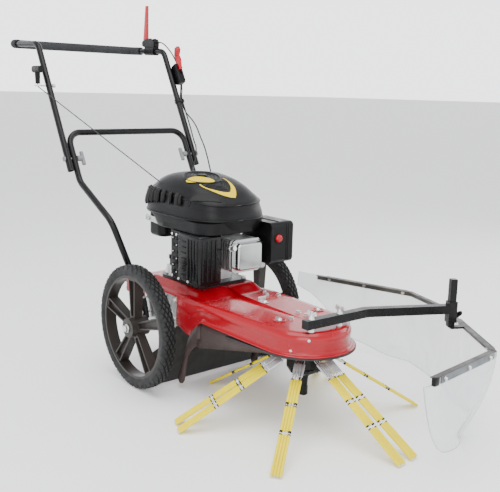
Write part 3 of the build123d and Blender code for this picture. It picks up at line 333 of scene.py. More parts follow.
def block(centre, size, rotation=None, bevel=0.001):
    """Box with small bevels, as vertices and faces."""
    made = bmesh.new()
    bmesh.ops.create_cube(made, size=1)
    bmesh.ops.scale(made, vec=size, verts=made.verts)
    bmesh.ops.bevel(made, geom=made.edges[:], offset=bevel, segments=2, affect="EDGES", profile=0.5)
    if rotation:
        bmesh.ops.rotate(made, matrix=rotation, verts=made.verts)
    bmesh.ops.translate(made, vec=centre, verts=made.verts)
    made.verts.index_update()
    verts = [v.co.copy() for v in made.verts]
    faces = [tuple(v.index for v in face.verts) for face in made.faces]
    made.free()
    return verts, faces


def turned(profile, origin, axis, sides=32):
    """Turned shape: profile of (radius, height) pairs about an axis through origin."""
    axis = Vector(axis).normalized()
    side = axis.cross(Vector((0, 0, 1)) if abs(axis.z) < 0.9 else Vector((1, 0, 0))).normalized()
    up = axis.cross(side)
    loops = []
    for radius, height in profile:
        middle = Vector(origin) + axis * height
        loops.append([middle + side * (radius * cos(2 * pi * k / sides))
                      + up * (radius * sin(2 * pi * k / sides)) for k in range(sides)])
    return rings(loops)


# ---------------------------------------------------------------- tyres with a block tread
TREAD_STEPS = 540
TREAD_BLOCKS = 44
TREAD_DEPTH = 0.0050
TREAD_HALF = 0.0185


def tyre_profile():
    """Outline of the tyre section: (across, radius) from one bead round the tread to the other."""
    outline = [(-0.019, RIM_R), (-0.0205, 0.169), (-0.0225, 0.176), (-0.0228, 0.1835), (-0.0205, 0.1905),
               (-0.0185, 0.1945)]
    crown = [-TREAD_HALF + 2 * TREAD_HALF * k / 22 for k in range(1, 22)]
    outline += [(across, WHEEL_R - 6.3 * across ** 2 - 0.0002) for across in crown]
    outline += [(-across, radius) for across, radius in outline[5::-1]]
    return outline


def tread_depth(turn, across):
    """How deep the groove is at a place on the tread: rows of slanted blocks."""
    u = turn * TREAD_BLOCKS
    v = across / TREAD_HALF
    slant = abs(((u + v * 1.4) % 1.0) - 0.5) * 2
    cross = abs(((u - v * 1.4) % 1.0) - 0.5) * 2
    groove = max((slant - 0.74) / 0.12, (cross - 0.74) / 0.12, 0.0)
    return TREAD_DEPTH * min(1.0, groove)


for side_sign, word in ((1, "left"), (-1, "right")):
    loops = []
    for step in range(TREAD_STEPS):
        turn = step / TREAD_STEPS
        angle = 2 * pi * turn
        loop = []
        for across, radius in tyre_profile():
            shoulder = abs(across) > 0.0222 or radius < 0.188
            depth = 0.0 if shoulder else tread_depth(turn, across)
            r = radius - depth
            loop.append(Vector((r * cos(angle), side_sign * TRACK_HALF + across, WHEEL_R + r * sin(angle))))
        loops.append(loop)
    loops.append(loops[0])
    tyre = piece(f"tyre_tread_{word}", *rings(loops, closed_ends=False), TYRE_RUBBER, f"wheel_{word}",
                 smooth=False)
    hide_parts(f"tyre_{word}")

# ---------------------------------------------------------------- brush bundles
DROP = ROOT_Z - TIP_Z
REACH = BRUSH_R - ROOT_R
SLOPE = atan2(DROP, REACH)
RUN = sqrt(DROP ** 2 + REACH ** 2)
SLEEVES = ((0.072, 0.149), (0.160, 0.237), (0.248, RUN - 0.004))
STRANDS = (-0.0117, -0.0039, 0.0039, 0.0117)
SLEEVE_R = 0.0041
WIRE_R = 0.00095


def bundle_frames():
    """Start, direction along, level direction and thickness direction of each bundle."""
    spots = [(angle, 0.0, 0.0) for angle in SINGLES]
    for angle in PAIRS:
        spots += [(angle, PAIR_HALF, SPLAY), (angle, -PAIR_HALF, -SPLAY)]
    for angle, aside, lean in spots:
        turn = radians(angle)
        heading = radians(angle + lean)
        start = Vector((BRUSH_X + ROOT_R * cos(turn) - aside * sin(turn),
                        ROOT_R * sin(turn) + aside * cos(turn), ROOT_Z))
        along = Vector((cos(heading) * cos(SLOPE), sin(heading) * cos(SLOPE), -sin(SLOPE)))
        level = Vector((-sin(heading), cos(heading), 0))
        yield start, along, level, along.cross(level)


sleeve_parts, wire_parts, band_parts, ferrule_parts = [], [], [], []
for start, along, level, thick in bundle_frames():
    for begin, finish in SLEEVES:
        for offset in STRANDS:
            base = start + level * offset
            marks = [begin, begin + 0.0015, finish - 0.0015, finish]
            sizes = [SLEEVE_R * 0.86, SLEEVE_R, SLEEVE_R, SLEEVE_R * 0.86]
            sleeve_parts.append(tube([base + along * m for m in marks], sizes, 14))
        for edge in (begin - 0.0012, finish - 0.0002):
            if edge < RUN - 0.01:
                for offset in STRANDS[::3]:
                    base = start + level * offset + along * edge
                    band_parts.append(tube([base, base + along * 0.0032], SLEEVE_R * 1.06, 14))
    for offset in STRANDS:
        for phase in (0, pi):
            path = []
            for k in range(91):
                travel = -0.012 + (RUN + 0.011) * k / 90
                angle = phase + travel * 420
                path.append(start + along * travel + level * (offset + 0.0012 * cos(angle))
                            + thick * (0.0012 * sin(angle)))
            wire_parts.append(tube(path, WIRE_R, 6))
    for offset in STRANDS:
        base = start + level * (offset * 1.02)
        marks = [0.016, 0.018, 0.040, 0.042, 0.058, 0.060]
        sizes = [0.0034, 0.0040, 0.0040, 0.0034, 0.0034, 0.0030]
        ferrule_parts.append(tube([base + along * m for m in marks], sizes, 14))

sleeves = piece("sleeve_tubes", *join(sleeve_parts), YELLOW, "brush")
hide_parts("brush_sleeves")
wires = piece("wire_strands", *join(wire_parts), BRIGHT_STEEL, "brush")
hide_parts("brush_wires")
ferrules = piece("crimped_ferrules", *join(ferrule_parts), FERRULE_ZINC, "brush")
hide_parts("brush_ferrules")
bands = piece("sleeve_end_bands", *join(band_parts), SHADE_AND_BAND_BLACK, "brush")


# ---------------------------------------------------------------- brush clamp plate
plate_low, plate_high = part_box("clamp_plate")
plate_r = (plate_high.x - plate_low.x) / 2
plate_z = plate_high.z
PLATE_T = 0.0155
PLATE_BORE = 0.012
plate_section = [(PLATE_BORE, -PLATE_T), (plate_r * 0.90, -PLATE_T), (plate_r * 0.96, -0.0125),
                 (plate_r * 0.96, -0.004), (plate_r * 0.90, 0.0), (PLATE_BORE, 0.0)]
plate_parts = [turned(plate_section, (BRUSH_X, 0, plate_z), (0, 0, 1), 6)]
for index in range(6):
    turn = radians(30 + 60 * index)
    spot = (BRUSH_X + plate_r * 0.68 * cos(turn), plate_r * 0.68 * sin(turn), plate_z - 0.0150)
    plate_parts.append(turned([(0.0068, 0.0), (0.0068, 0.005), (0.0003, 0.0055)], spot, (0, 0, -1), 6))
plate = piece("clamp_plate_faces", *join(plate_parts), BLACK_PAINT, "brush", smooth=False)
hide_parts("clamp_plate")

# ---------------------------------------------------------------- blower hood
HOOD_SIDES = 120
HOOD_LEVELS = 28
PLAN_POWER = 3.2
ROUND_POWER = 0.60
SKIRT_LOW = 0.506
REAR_LOW = 0.548


def smooth_step(value, begin, finish):
    """0 before begin, 1 after finish, and a smooth rise between them."""
    t = min(1.0, max(0.0, (value - begin) / (finish - begin)))
    return t * t * (3 - 2 * t)


def hood_point(angle, rise):
    """Point on the hood. angle goes round it, and rise goes from 0 at the belt line to 1 at the top."""
    phi = rise * pi / 2
    spread = cos(phi) ** ROUND_POWER if rise < 1 else 0.0
    height = sin(phi) ** 0.92
    c, s = cos(angle), sin(angle)
    x = HOOD_HALF.x * spread * (abs(c) ** (2 / PLAN_POWER)) * (1 if c > 0 else -1)
    y = HOOD_HALF.y * spread * (abs(s) ** (2 / PLAN_POWER)) * (1 if s > 0 else -1)
    sink = max(0.0, (x + 0.01) / 0.18) ** 1.4 * 0.036 * height
    shoulder = 0.005 * smooth_step(rise, 0.26, 0.30) * (1 - smooth_step(rise, 0.30, 0.50))
    return HOOD_C + Vector((x * (1 + shoulder * 2), y * (1 + shoulder * 3),
                            HOOD_HALF.z * height - sink + shoulder))


def hood_height(x, y):
    """Point on the hood over a place in its plan."""
    lowest, highest = 0.0, 1.0
    px, py = x - HOOD_C.x, y - HOOD_C.y
    angle = atan2(abs(py / HOOD_HALF.y) ** (PLAN_POWER / 2) * (1 if py > 0 else -1),
                  abs(px / HOOD_HALF.x) ** (PLAN_POWER / 2) * (1 if px > 0 else -1))
    for _ in range(30):
        middle = (lowest + highest) / 2
        reach = hood_point(angle, middle) - HOOD_C
        if reach.x ** 2 + reach.y ** 2 > px ** 2 + py ** 2:
            lowest = middle
        else:
            highest = middle
    return hood_point(angle, lowest)


def hood_edge(angle, share):
    """Point on the skirt below the belt line: deep over the cylinder, shallow over the fuel tank."""
    top = hood_point(angle, 0.0)
    low = REAR_LOW + (SKIRT_LOW - REAR_LOW) * smooth_step(top.x, -0.115, -0.060)
    inward = 0.006 * share + 0.004 * (share > 0.99)
    place = HOOD_C.lerp(top, 1 - inward / 0.15)
    return Vector((place.x, place.y, top.z + (low - top.z) * share))


turns = [2 * pi * k / HOOD_SIDES for k in range(HOOD_SIDES)]
hood_loops = [[hood_edge(t, 1.0) + (HOOD_C - hood_edge(t, 1.0)) * 0.03 + Vector((0, 0, 0.004))
               for t in turns]]
hood_loops += [[hood_edge(t, share) for t in turns] for share in (1.0, 0.98, 0.66, 0.33)]
hood_loops += [[hood_point(t, level / HOOD_LEVELS) for t in turns] for level in range(HOOD_LEVELS)]
hood_loops.append([hood_point(t, 0.995) for t in turns])
hood = piece("hood_shell", *rings(hood_loops), HOOD_PLASTIC, "chassis")
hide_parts("blower_hood")


def hood_bead(name, level, radius):
    """Raised moulding line round the hood."""
    path = [hood_point(t, level) for t in turns + turns[:1]]
    piece(name, *tube(path, radius, 8), HOOD_PLASTIC, "chassis")


hood_bead("hood_belt_line", 0.02, 0.0032)
hood_bead("hood_shoulder_line", 0.30, 0.0026)

CAP_C = Vector((0.036, -0.030))
cap_parts = []
for ring_r, ring_t in ((0.062, 0.0032), (0.046, 0.0016), (0.034, 0.0016), (0.022, 0.0016)):
    path = [hood_height(CAP_C.x + ring_r * cos(t), CAP_C.y + ring_r * 0.9 * sin(t))
            for t in turns + turns[:1]]
    cap_parts.append(tube(path, ring_t, 8))
cap_top = hood_height(*CAP_C)
cap_parts.append(turned([(0.016, -0.004), (0.016, 0.003), (0.013, 0.005), (0.0004, 0.0055)], cap_top,
                        (0, 0, 1)))
piece("starter_cap", *join(cap_parts), HOOD_PLASTIC, "chassis")


def hood_patch(name, outline_map, look, lift=0.0014, cells=20):
    """Thin patch that lies on the hood, from a function of two numbers to a place in plan."""
    loops = []
    for i in range(cells + 1):
        row = []
        for j in range(cells + 1):
            x, y = outline_map(i / cells, j / cells)
            row.append(hood_height(x, y) + Vector((lift * 0.3, -lift * 0.5, lift)))
        loops.append(row)
    made = piece(name, *rings(loops, closed_ends=False, closed_loop=False), look, "chassis")


def turned_place(centre, turn, along, across):
    """Place in plan at two distances from a centre, along and across a heading."""
    return (centre[0] + along * cos(turn) - across * sin(turn),
            centre[1] + along * sin(turn) + across * cos(turn))


def oval(u, v):
    """Badge on the hood's top."""
    radius = sqrt(u)
    angle = 2 * pi * v
    return turned_place((0.063, -0.056), radians(50), 0.046 * radius * cos(angle),
                        0.021 * radius * sin(angle))


RECESS_C = (0.092, -0.024)
TIP_HEADING = 18
TIP_SPREAD = 75


def tip_share(angle):
    """1 at the stripe's tip, and 0 well away from it."""
    return 1 - min(1.0, abs(degrees(angle) - TIP_HEADING) / TIP_SPREAD)


def swoosh(u, v):
    """Curved stripe round the front of the recess, thickest at its tip."""
    angle = radians(-95 + 205 * u)
    tip = tip_share(angle)
    outer = 0.055 + 0.028 * tip ** 1.5
    width = 0.0045 + 0.017 * tip
    radius = outer - v * width
    return RECESS_C[0] + radius * cos(angle), RECESS_C[1] + radius * sin(angle)


def recess(u, v):
    """Slatted recess inside the stripe, whose black patch is painted shade."""
    angle = radians(-88 + 190 * u)
    tip = tip_share(angle)
    outer = 0.048 + 0.013 * tip ** 1.5
    radius = outer * (1 - 0.55 * v)
    return RECESS_C[0] + radius * cos(angle), RECESS_C[1] + radius * sin(angle)


def eye_vent(u, v):
    """Pointed air inlet in the hood's right front face."""
    along = -0.052 + 0.104 * u
    across = 0.0125 * (v - 0.5) * 2 * sin(pi * min(max(u, 0.02), 0.98))
    return turned_place((0.138, -0.094), radians(42), along, across)


# The recess and the inlet are black patches lying on the hood: painted shade in the openings
hood_patch("hood_recess", recess, SHADE_AND_BAND_BLACK, lift=0.0010)
hood_patch("badge_stripe", swoosh, BADGE_YELLOW)
hood_patch("badge_oval", oval, BADGE_YELLOW, lift=0.0022)
hood_patch("eye_inlet", eye_vent, SHADE_AND_BAND_BLACK)
lip_parts = []
for edge in (0.0, 1.0):
    lip_path = [hood_height(*eye_vent(k / 24, edge)) for k in range(25)]
    lip_parts.append(tube(lip_path, 0.0020, 8))
for step in range(4):
    slat = [hood_height(*recess(0.06 + 0.88 * k / 24, 0.12 + 0.24 * step)) + Vector((0, 0, 0.0012))
            for k in range(25)]
    lip_parts.append(tube(slat, 0.0017, 8))
piece("hood_slats", *join(lip_parts), HOOD_PLASTIC, "chassis")

# Black strips laid on the hood: painted shade in the vent slots; the fins beside them are hood plastic
slot_shade_parts = []
slot_frames = []
for index in range(7):
    turn = radians(224 + 8.6 * index)
    low = 0.08 + 0.020 * index
    levels = [low + (0.385 - low) * share for share in (0.0, 0.15, 0.35, 0.6, 0.85, 1.0)]
    out = Vector((cos(turn), sin(turn), 0)) * 0.0035
    path = [hood_point(turn, level) + out for level in levels]
    slot_shade_parts.append(tube(path, [0.003, 0.0072, 0.0082, 0.0082, 0.0072, 0.003], 10))
    edge = [hood_point(turn + radians(3.8), level) + out * 1.6 for level in levels]
    slot_frames.append(tube(edge, [0.0014, 0.0052, 0.0060, 0.0060, 0.0052, 0.0014], 8))
piece("hood_slots", *join(slot_shade_parts), SHADE_AND_BAND_BLACK, "chassis")
piece("hood_slot_fins", *join(slot_frames), HOOD_PLASTIC, "chassis")

# ---------------------------------------------------------------- deck pressing
DECK_REAR = -0.250
DECK_SIDE = 0.150
DECK_BEND = 0.200
NOSE_R = 0.130
CORNER_R = 0.014
NOSE_TURN = radians(86.2)
# Deck wall: distance outside the outline, and share of the way up from its lower edge
DECK_SECTION = [(-0.003, 0.96), (-0.003, 0.02), (0.0135, 0.0), (0.0150, 0.016), (0.0140, 0.040),
                (0.0075, 0.056), (0.0030, 0.085), (0.0010, 0.15), (0.0, 0.26), (0.0, 0.50),
                (0.0006, 0.555), (0.0018, 0.60), (0.0018, 0.72), (0.0006, 0.765), (-0.0008, 0.81),
                (-0.0035, 0.885), (-0.0078, 0.950), (-0.0125, 0.985), (-0.0180, 1.0)]


def deck_outline():
    """Points round the deck with their outward normals, from the middle of the rear edge."""
    half = [(DECK_REAR, -(DECK_SIDE - CORNER_R) * k / 8, -1.0, 0.0) for k in range(8)]
    for k in range(9):
        t = pi + pi / 2 * k / 8
        half.append((DECK_REAR + CORNER_R + CORNER_R * cos(t), -DECK_SIDE + CORNER_R + CORNER_R * sin(t),
                     cos(t), sin(t)))
    half += [(DECK_REAR + CORNER_R + (DECK_BEND - DECK_REAR - CORNER_R) * k / 60, -DECK_SIDE, 0.0,
              -1.0) for k in range(1, 61)]
    touch = Vector((BRUSH_X + NOSE_R * cos(NOSE_TURN), -NOSE_R * sin(NOSE_TURN)))
    bend = Vector((DECK_BEND, -DECK_SIDE))
    for k in range(1, 40):
        place = bend.lerp(touch, k / 40)
        half.append((place.x, place.y, cos(NOSE_TURN), -sin(NOSE_TURN)))
    half += [(BRUSH_X + NOSE_R * cos(t), NOSE_R * sin(t), cos(t), sin(t))
             for t in [-NOSE_TURN * (1 - k / 36) for k in range(37)]]
    return half + [(x, -y, nx, -ny) for x, y, nx, ny in half[-2:0:-1]]


def wall_low(x):
    """Height of the wall's lower edge: deep behind the arch, then a lip that falls to the nose."""
    marks = [(-0.26, 0.252), (-0.14, 0.236), (-0.12, 0.204), (0.06, 0.204), (0.145, 0.184), (0.190, 0.230),
             (0.212, 0.248), (0.512, 0.236), (0.70, 0.236)]
    for (x0, z0), (x1, z1) in zip(marks, marks[1:]):
        if x <= x1:
            share = smooth_step(x, x0, x1) if x1 < 0.3 else (x - x0) / (x1 - x0)
            return z0 + (z1 - z0) * share


def top_height(x, y):
    """Height of the deck's top: a soft rise under the engine."""
    rise = smooth_step(x, -0.185, -0.120) * (1 - smooth_step(x, 0.133, 0.190))
    return DECK_TOP + 0.0236 * rise * (1 - smooth_step(abs(y), 0.105, 0.131))


outline = deck_outline()
deck_loops = []
for grow, share in DECK_SECTION:
    loop = []
    for x, y, nx, ny in outline:
        lip = smooth_step(x, 0.176, 0.206) if grow > 0.002 else 1.0
        low = wall_low(x)
        loop.append(Vector((x + nx * grow * lip, y + ny * grow * lip, low + (DECK_TOP - low) * share)))
    deck_loops.append(loop)
TOP_ROWS = 26
for row in range(1, TOP_ROWS + 1):
    t = row / TOP_ROWS * 0.985
    loop = []
    for point in deck_loops[len(DECK_SECTION) - 1]:
        spine = Vector((min(max(point.x, -0.130), BRUSH_X), 0, 0))
        place = Vector((point.x, point.y, 0)).lerp(spine, t)
        loop.append(Vector((place.x, place.y, top_height(place.x, place.y))))
    deck_loops.append(loop)
deck = piece("deck_pressing", *rings(deck_loops), RED_PAINT, "chassis")
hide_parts("deck")

# ---------------------------------------------------------------- side skirts
SKIRT_T = 0.0035


def skirt_low(x):
    """Lower edge of a side skirt forward of its foot."""
    marks = [(0.150, 0.176), (0.200, 0.164), (0.477, 0.2240), (0.580, 0.2345)]
    for (x0, z0), (x1, z1) in zip(marks, marks[1:]):
        if x <= x1:
            return z0 + (z1 - z0) * max(0.0, (x - x0) / (x1 - x0))
    return 0.2345


def skirt_parts(side):
    """Rubber skirt under the lip, with a foot that curves down behind the arch."""
    loops = []
    for x, y, nx, ny in outline:
        if side * y > 0 and 0.19 < x < 0.585:
            place = Vector((x + nx * 0.006, y + ny * 0.006, 0))
            high = wall_low(x) + 0.001
            low = skirt_low(x)
            normal = Vector((nx, ny, 0)) * SKIRT_T
            flare = Vector((nx, ny, 0)) * 0.004
            up, down = Vector((0, 0, high)), Vector((0, 0, low))
            loops.append([place + up, place + flare + down, place + flare - normal + down,
                          place - normal + up])
    front = rings(loops)
    y = side * (DECK_SIDE + 0.006)
    outer = [(0.205, 0.240), (0.180, 0.226), (0.158, 0.204), (0.138, 0.172), (0.121, 0.130), (0.107, 0.088),
             (0.094, 0.052), (0.086, 0.028), (0.092, 0.017)]
    inner = [(0.205, 0.1645), (0.186, 0.163), (0.168, 0.155), (0.152, 0.140), (0.140, 0.118), (0.131, 0.090),
             (0.123, 0.056), (0.118, 0.030), (0.108, 0.017)]
    loops = []
    for (x0, z0), (x1, z1) in zip(outer, inner):
        bulge = side * 0.003
        loops.append([Vector((x0, y, z0)), Vector(((x0 + x1) / 2, y + bulge, (z0 + z1) / 2)),
                      Vector((x1, y, z1)), Vector((x1, y - side * 0.005, z1)),
                      Vector((x0, y - side * 0.005, z0))])
    return [front, rings(loops)]


skirts = piece("rubber_skirts", *join(skirt_parts(1) + skirt_parts(-1)), BROWN_RUBBER, "chassis")
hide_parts("side_skirts")

# ---------------------------------------------------------------- muffler guard
guard_low, guard_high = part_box("muffler_guard")
cage_parts = []
rear_band = 0.050
front_x = guard_low.x + rear_band
box_centre = Vector(((front_x + guard_high.x) / 2, (guard_low.y + guard_high.y) / 2 - 0.001,
                     (guard_low.z + guard_high.z) / 2))
box_size = Vector((guard_high.x - front_x, guard_high.y - guard_low.y, guard_high.z - guard_low.z))
cage_parts.append(block(box_centre, box_size, bevel=0.009))
for index in range(4):
    x = guard_high.x - 0.012 - 0.015 * index
    cage_parts.append(block((x, guard_low.y - 0.0015, box_centre.z), (0.0065, 0.006, box_size.z - 0.026),
                            bevel=0.0025))
for index in range(4):
    y = guard_low.y + 0.014 + 0.017 * index
    cage_parts.append(block((guard_high.x + 0.0005, y, box_centre.z), (0.006, 0.0065, box_size.z - 0.026),
                            bevel=0.0025))
for index in range(7):
    z = guard_low.z + 0.024 + 0.018 * index
    cage_parts.append(block((front_x + 0.030, guard_low.y - 0.001, z), (0.032, 0.005, 0.0045),
                            bevel=0.002))
cage_parts.append(block((guard_low.x + rear_band / 2, guard_low.y + 0.012, box_centre.z),
                        (rear_band, 0.004, box_size.z - 0.004), bevel=0.0012))
for z in (guard_low.z + 0.002, guard_high.z - 0.002):
    cage_parts.append(block((guard_low.x + rear_band / 2, guard_low.y + 0.035, z),
                            (rear_band, 0.050, 0.003), bevel=0.001))
muffler_guard = piece("muffler_cage", *join(cage_parts), BLACK_PAINT, "chassis")
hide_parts("muffler_guard")
# Black discs on the cage: painted shade in its holes; the zinc studs are real
hole_shade_parts, stud_parts = [], []
for row in range(6):
    for column in range(2):
        spot = (guard_low.x + 0.013 + 0.019 * column, guard_low.y + 0.0095,
                guard_low.z + 0.022 + 0.022 * row)
        hole_shade_parts.append(turned([(0.0058, 0.0), (0.0058, 0.0006), (0.0002, 0.0006)], spot, (0, -1, 0), 18))
        if (row + column) % 2:
            stud_parts.append(turned([(0.0024, 0.0), (0.0022, 0.0022), (0.0003, 0.0026)], spot,
                                     (0, -1, 0), 12))
piece("cage_holes", *join(hole_shade_parts), SHADE_AND_BAND_BLACK, "chassis")
for dx, dz in ((0.010, 0.008), (0.060, 0.008), (0.110, 0.008), (0.034, 0.144), (0.010, 0.144)):
    face_y = guard_low.y + (0.009 if dx < rear_band else -0.001)
    stud_parts.append(turned([(0.0046, 0.0), (0.0046, 0.003), (0.003, 0.0045), (0.0003, 0.0048)],
                             (guard_low.x + dx, face_y, guard_low.z + dz), (0, -1, 0), 16))
piece("cage_screws", *join(stud_parts), ZINC, "chassis")

# ---------------------------------------------------------------- tank strap, air box details, hand screws
STRAP_Z = 0.517
strap = [block((-0.128, -0.1135, STRAP_Z), (0.078, 0.003, 0.020), Matrix.Rotation(radians(4), 3, "Y")),
         block((-0.162, -0.109, STRAP_Z), (0.014, 0.012, 0.016)),
         block((-0.104, -0.112, 0.532), (0.012, 0.005, 0.030), Matrix.Rotation(radians(-20), 3, "Y"))]
strap.append(turned([(0.006, 0.0), (0.006, 0.004), (0.0003, 0.005)], (-0.146, -0.115, STRAP_Z),
                    (0, -1, 0), 6))
piece("tank_strap", *join(strap), ZINC, "chassis")

box_low, box_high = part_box("air_filter_box")
ribs = [block((box_high.x - 0.0005, box_low.y + 0.066, (box_low.z + box_high.z) / 2), (0.004, 0.003, 0.118)),
        block((box_high.x - 0.0005, box_low.y + 0.074, (box_low.z + box_high.z) / 2), (0.004, 0.003, 0.118)),
        block(((box_low.x + box_high.x) / 2, (box_low.y + box_high.y) / 2 - 0.01, box_high.z),
              (0.120, 0.004, 0.004)),
        block((box_high.x - 0.002, box_low.y + 0.004, box_low.z + 0.095), (0.006, 0.010, 0.030))]
bulb_low, bulb_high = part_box("primer_bulb")
ring_r = (bulb_high.y - bulb_low.y) / 2 + 0.0015
ring_path = [Vector((box_high.x, (bulb_low.y + bulb_high.y) / 2 + (ring_r + 0.0016) * cos(t),
                     (bulb_low.z + bulb_high.z) / 2 + (ring_r + 0.0016) * sin(t)))
             for t in turns + turns[:1]]
ribs.append(tube(ring_path, 0.0014, 8))
piece("air_box_ribs", *join(ribs), BLACK_PLASTIC, "chassis")

# Engine block faces below this height are black: painted shade in the dark gap under the engine, where it
# sits on the deck
PAINTED_SHADE_TOP = 0.336
block_mesh = NODES["engine_block"].data
block_mesh.materials.append(BLACK_PAINT)
for face in block_mesh.polygons:
    if face.center.z < PAINTED_SHADE_TOP:
        face.material_index = 1

WING_NUTS_END = 0.65
screws = NODES["hand_screws"].data
screws.materials.append(ZINC)
for face in screws.polygons:
    if face.center.x < WING_NUTS_END:
        face.material_index = 1

# ---------------------------------------------------------------- cables and rope
THROTTLE_ROUTE = [
    (-0.541, 0.292, 0.962), (-0.536, 0.291, 0.940), (-0.5367, 0.2865, 0.9176),
    (-0.5179, 0.2865, 0.8824), (-0.494, 0.2875, 0.836), (-0.470, 0.288, 0.790),
    (-0.444, 0.284, 0.746), (-0.406, 0.270, 0.722), (-0.384, 0.246, 0.678),
    (-0.352, 0.212, 0.650), (-0.312, 0.186, 0.634), (-0.266, 0.170, 0.622),
    (-0.220, 0.162, 0.608), (-0.176, 0.166, 0.588), (-0.136, 0.172, 0.560),
    (-0.096, 0.166, 0.540), (-0.060, 0.140, 0.520), (-0.024, 0.102, 0.512),
]
BRAKE_ROUTE = [
    (-0.686, 0.268, 1.127), (-0.660, 0.270, 1.131), (-0.634, 0.278, 1.116),
    (-0.614, 0.298, 1.082), (-0.600, 0.312, 1.040), (-0.584, 0.314, 1.000),
    (-0.566, 0.306, 0.955), (-0.5441, 0.2865, 0.9136), (-0.5253, 0.2865, 0.8784),
    (-0.512, 0.296, 0.850), (-0.470, 0.294, 0.828), (-0.420, 0.280, 0.802),
    (-0.362, 0.254, 0.770), (-0.302, 0.230, 0.737), (-0.246, 0.202, 0.704),
    (-0.196, 0.178, 0.664), (-0.164, 0.164, 0.626), (-0.140, 0.160, 0.588),
    (-0.112, 0.158, 0.552), (-0.076, 0.124, 0.512),
]
EYE = (-0.560, -0.308, 0.943)
OUTLET = (-0.112, -0.100, 0.646)
CABLE_D = 0.005
ROPE_D = 0.0036


def held_cord(name, route, diameter, look, node):
    """Cord between two ends on the machine, as a tube along its route; the CAD cord is hidden."""
    made = piece(name, *tube(route, diameter / 2, 12), look, None)
    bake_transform(made)
    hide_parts(node)
    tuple(route[0])
    line_length(route)


throttle_line = rounded_route(THROTTLE_ROUTE)
held_cord("throttle_outer", throttle_line, CABLE_D, BLACK_PLASTIC, "throttle_cable")
brake_line = rounded_route(BRAKE_ROUTE)
held_cord("brake_outer", brake_line, CABLE_D, BLACK_PLASTIC, "brake_cable")
rope_line = [Vector(EYE).lerp(Vector(OUTLET), k / 60) for k in range(61)]
held_cord("rope_main", rope_line, ROPE_D, ROPE, "starter_rope")

grip_low, grip_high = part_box("starter_grip")
grip_foot = Vector(((grip_low.x + grip_high.x) / 2, (grip_low.y + grip_high.y) / 2, grip_low.z + 0.012))
tail_line = [Vector(EYE).lerp(grip_foot, k / 40) for k in range(41)]
tail = piece("rope_tail", *tube(tail_line, ROPE_D / 2, 12), ROPE, None)
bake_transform(tail)

# ---------------------------------------------------------------- clear guard sheet
SHEET_TOP = 0.270
SHEET_LOW = 0.007
SHEET_ROWS = 26
SHEET_COLUMNS = 150
SHEET_OVERHANG = 0.085


def bar_place(travel):
    """Point and outward normal along the guard frame's line, by distance."""
    left = travel
    for a, b in zip(BAR_LINE, BAR_LINE[1:]):
        a, b = Vector((*a, 0)), Vector((*b, 0))
        span = (b - a).length
        if left <= span or (b.x, b.y) == BAR_LINE[-1]:
            ahead = (b - a).normalized()
            return a + ahead * left, Vector((-ahead.y, ahead.x, 0))
        left -= span


BAR_LENGTH = sum((Vector(b) - Vector(a)).length for a, b in zip(BAR_LINE, BAR_LINE[1:]))


def sheet_point(travel, down):
    """Point of the hanging sheet: it waves, and its lower edge swings in near the bend and the far end."""
    place, normal = bar_place(travel)
    normal_before = bar_place(max(travel - 0.03, -0.09))[1]
    normal_after = bar_place(min(travel + 0.03, BAR_LENGTH))[1]
    normal = (normal + normal_before + normal_after).normalized()
    wave = 0.006 * sin(travel * 17) + 0.004 * sin(travel * 31 + 1.3)
    out = 0.0045 + down * wave
    height = SHEET_TOP + (lower_edge(travel) - SHEET_TOP) * down
    return place + normal * (out - curl(travel) * down ** 2) + Vector((0, 0, height))


# Lower edge near the rear: distance along the frame, and height
REAR_EDGE = [(-0.09, 0.222), (-0.03, 0.196), (0.03, 0.150), (0.105, 0.060), (0.285, 0.024),
             (0.42, SHEET_LOW)]
FREE_END = 0.170


def lower_edge(travel):
    """Height of the sheet's lower edge: cut up at the rear, and swept back at the front."""
    left = BAR_LENGTH - travel
    if left < FREE_END:
        return SHEET_LOW + 0.026 + 0.205 * (1 - max(left, 0.0) / FREE_END) ** 4.2
    if left < 0.28:
        return SHEET_LOW + 0.026 * (1 - smooth_step(left, FREE_END, 0.28))
    for (t0, z0), (t1, z1) in zip(REAR_EDGE, REAR_EDGE[1:]):
        if travel < t1:
            return z0 + (z1 - z0) * (travel - t0) / (t1 - t0)
    return SHEET_LOW


def curl(travel):
    """How far the lower edge swings inward near the free end."""
    bend = BAR_LENGTH - 0.305
    tuck = 0.078 * smooth_step(travel, bend - 0.20, bend) * (1 - smooth_step(travel, bend, bend + 0.16))
    return 0.030 * smooth_step(travel, BAR_LENGTH - 0.26, BAR_LENGTH - 0.05) + tuck


def clear_sheet():
    """Rows of points of the sheet, from its top to its lower edge."""
    first = -SHEET_OVERHANG
    loops = []
    for j in range(SHEET_ROWS + 1):
        loops.append([sheet_point(first + (BAR_LENGTH - first) * i / SHEET_COLUMNS, j / SHEET_ROWS)
                      for i in range(SHEET_COLUMNS + 1)])
    return loops


sheet_loops = clear_sheet()
vinyl = piece("vinyl_sheet", *rings(sheet_loops, closed_ends=False, closed_loop=False), VINYL, "guard")
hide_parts("guard_sheet")
edge_line = [row[0] for row in sheet_loops] + sheet_loops[-1][1:] + [row[-1] for row in sheet_loops[-2::-1]]
piece("vinyl_cut_edge", *tube(edge_line, 0.0010, 6), VINYL_EDGE, "guard")

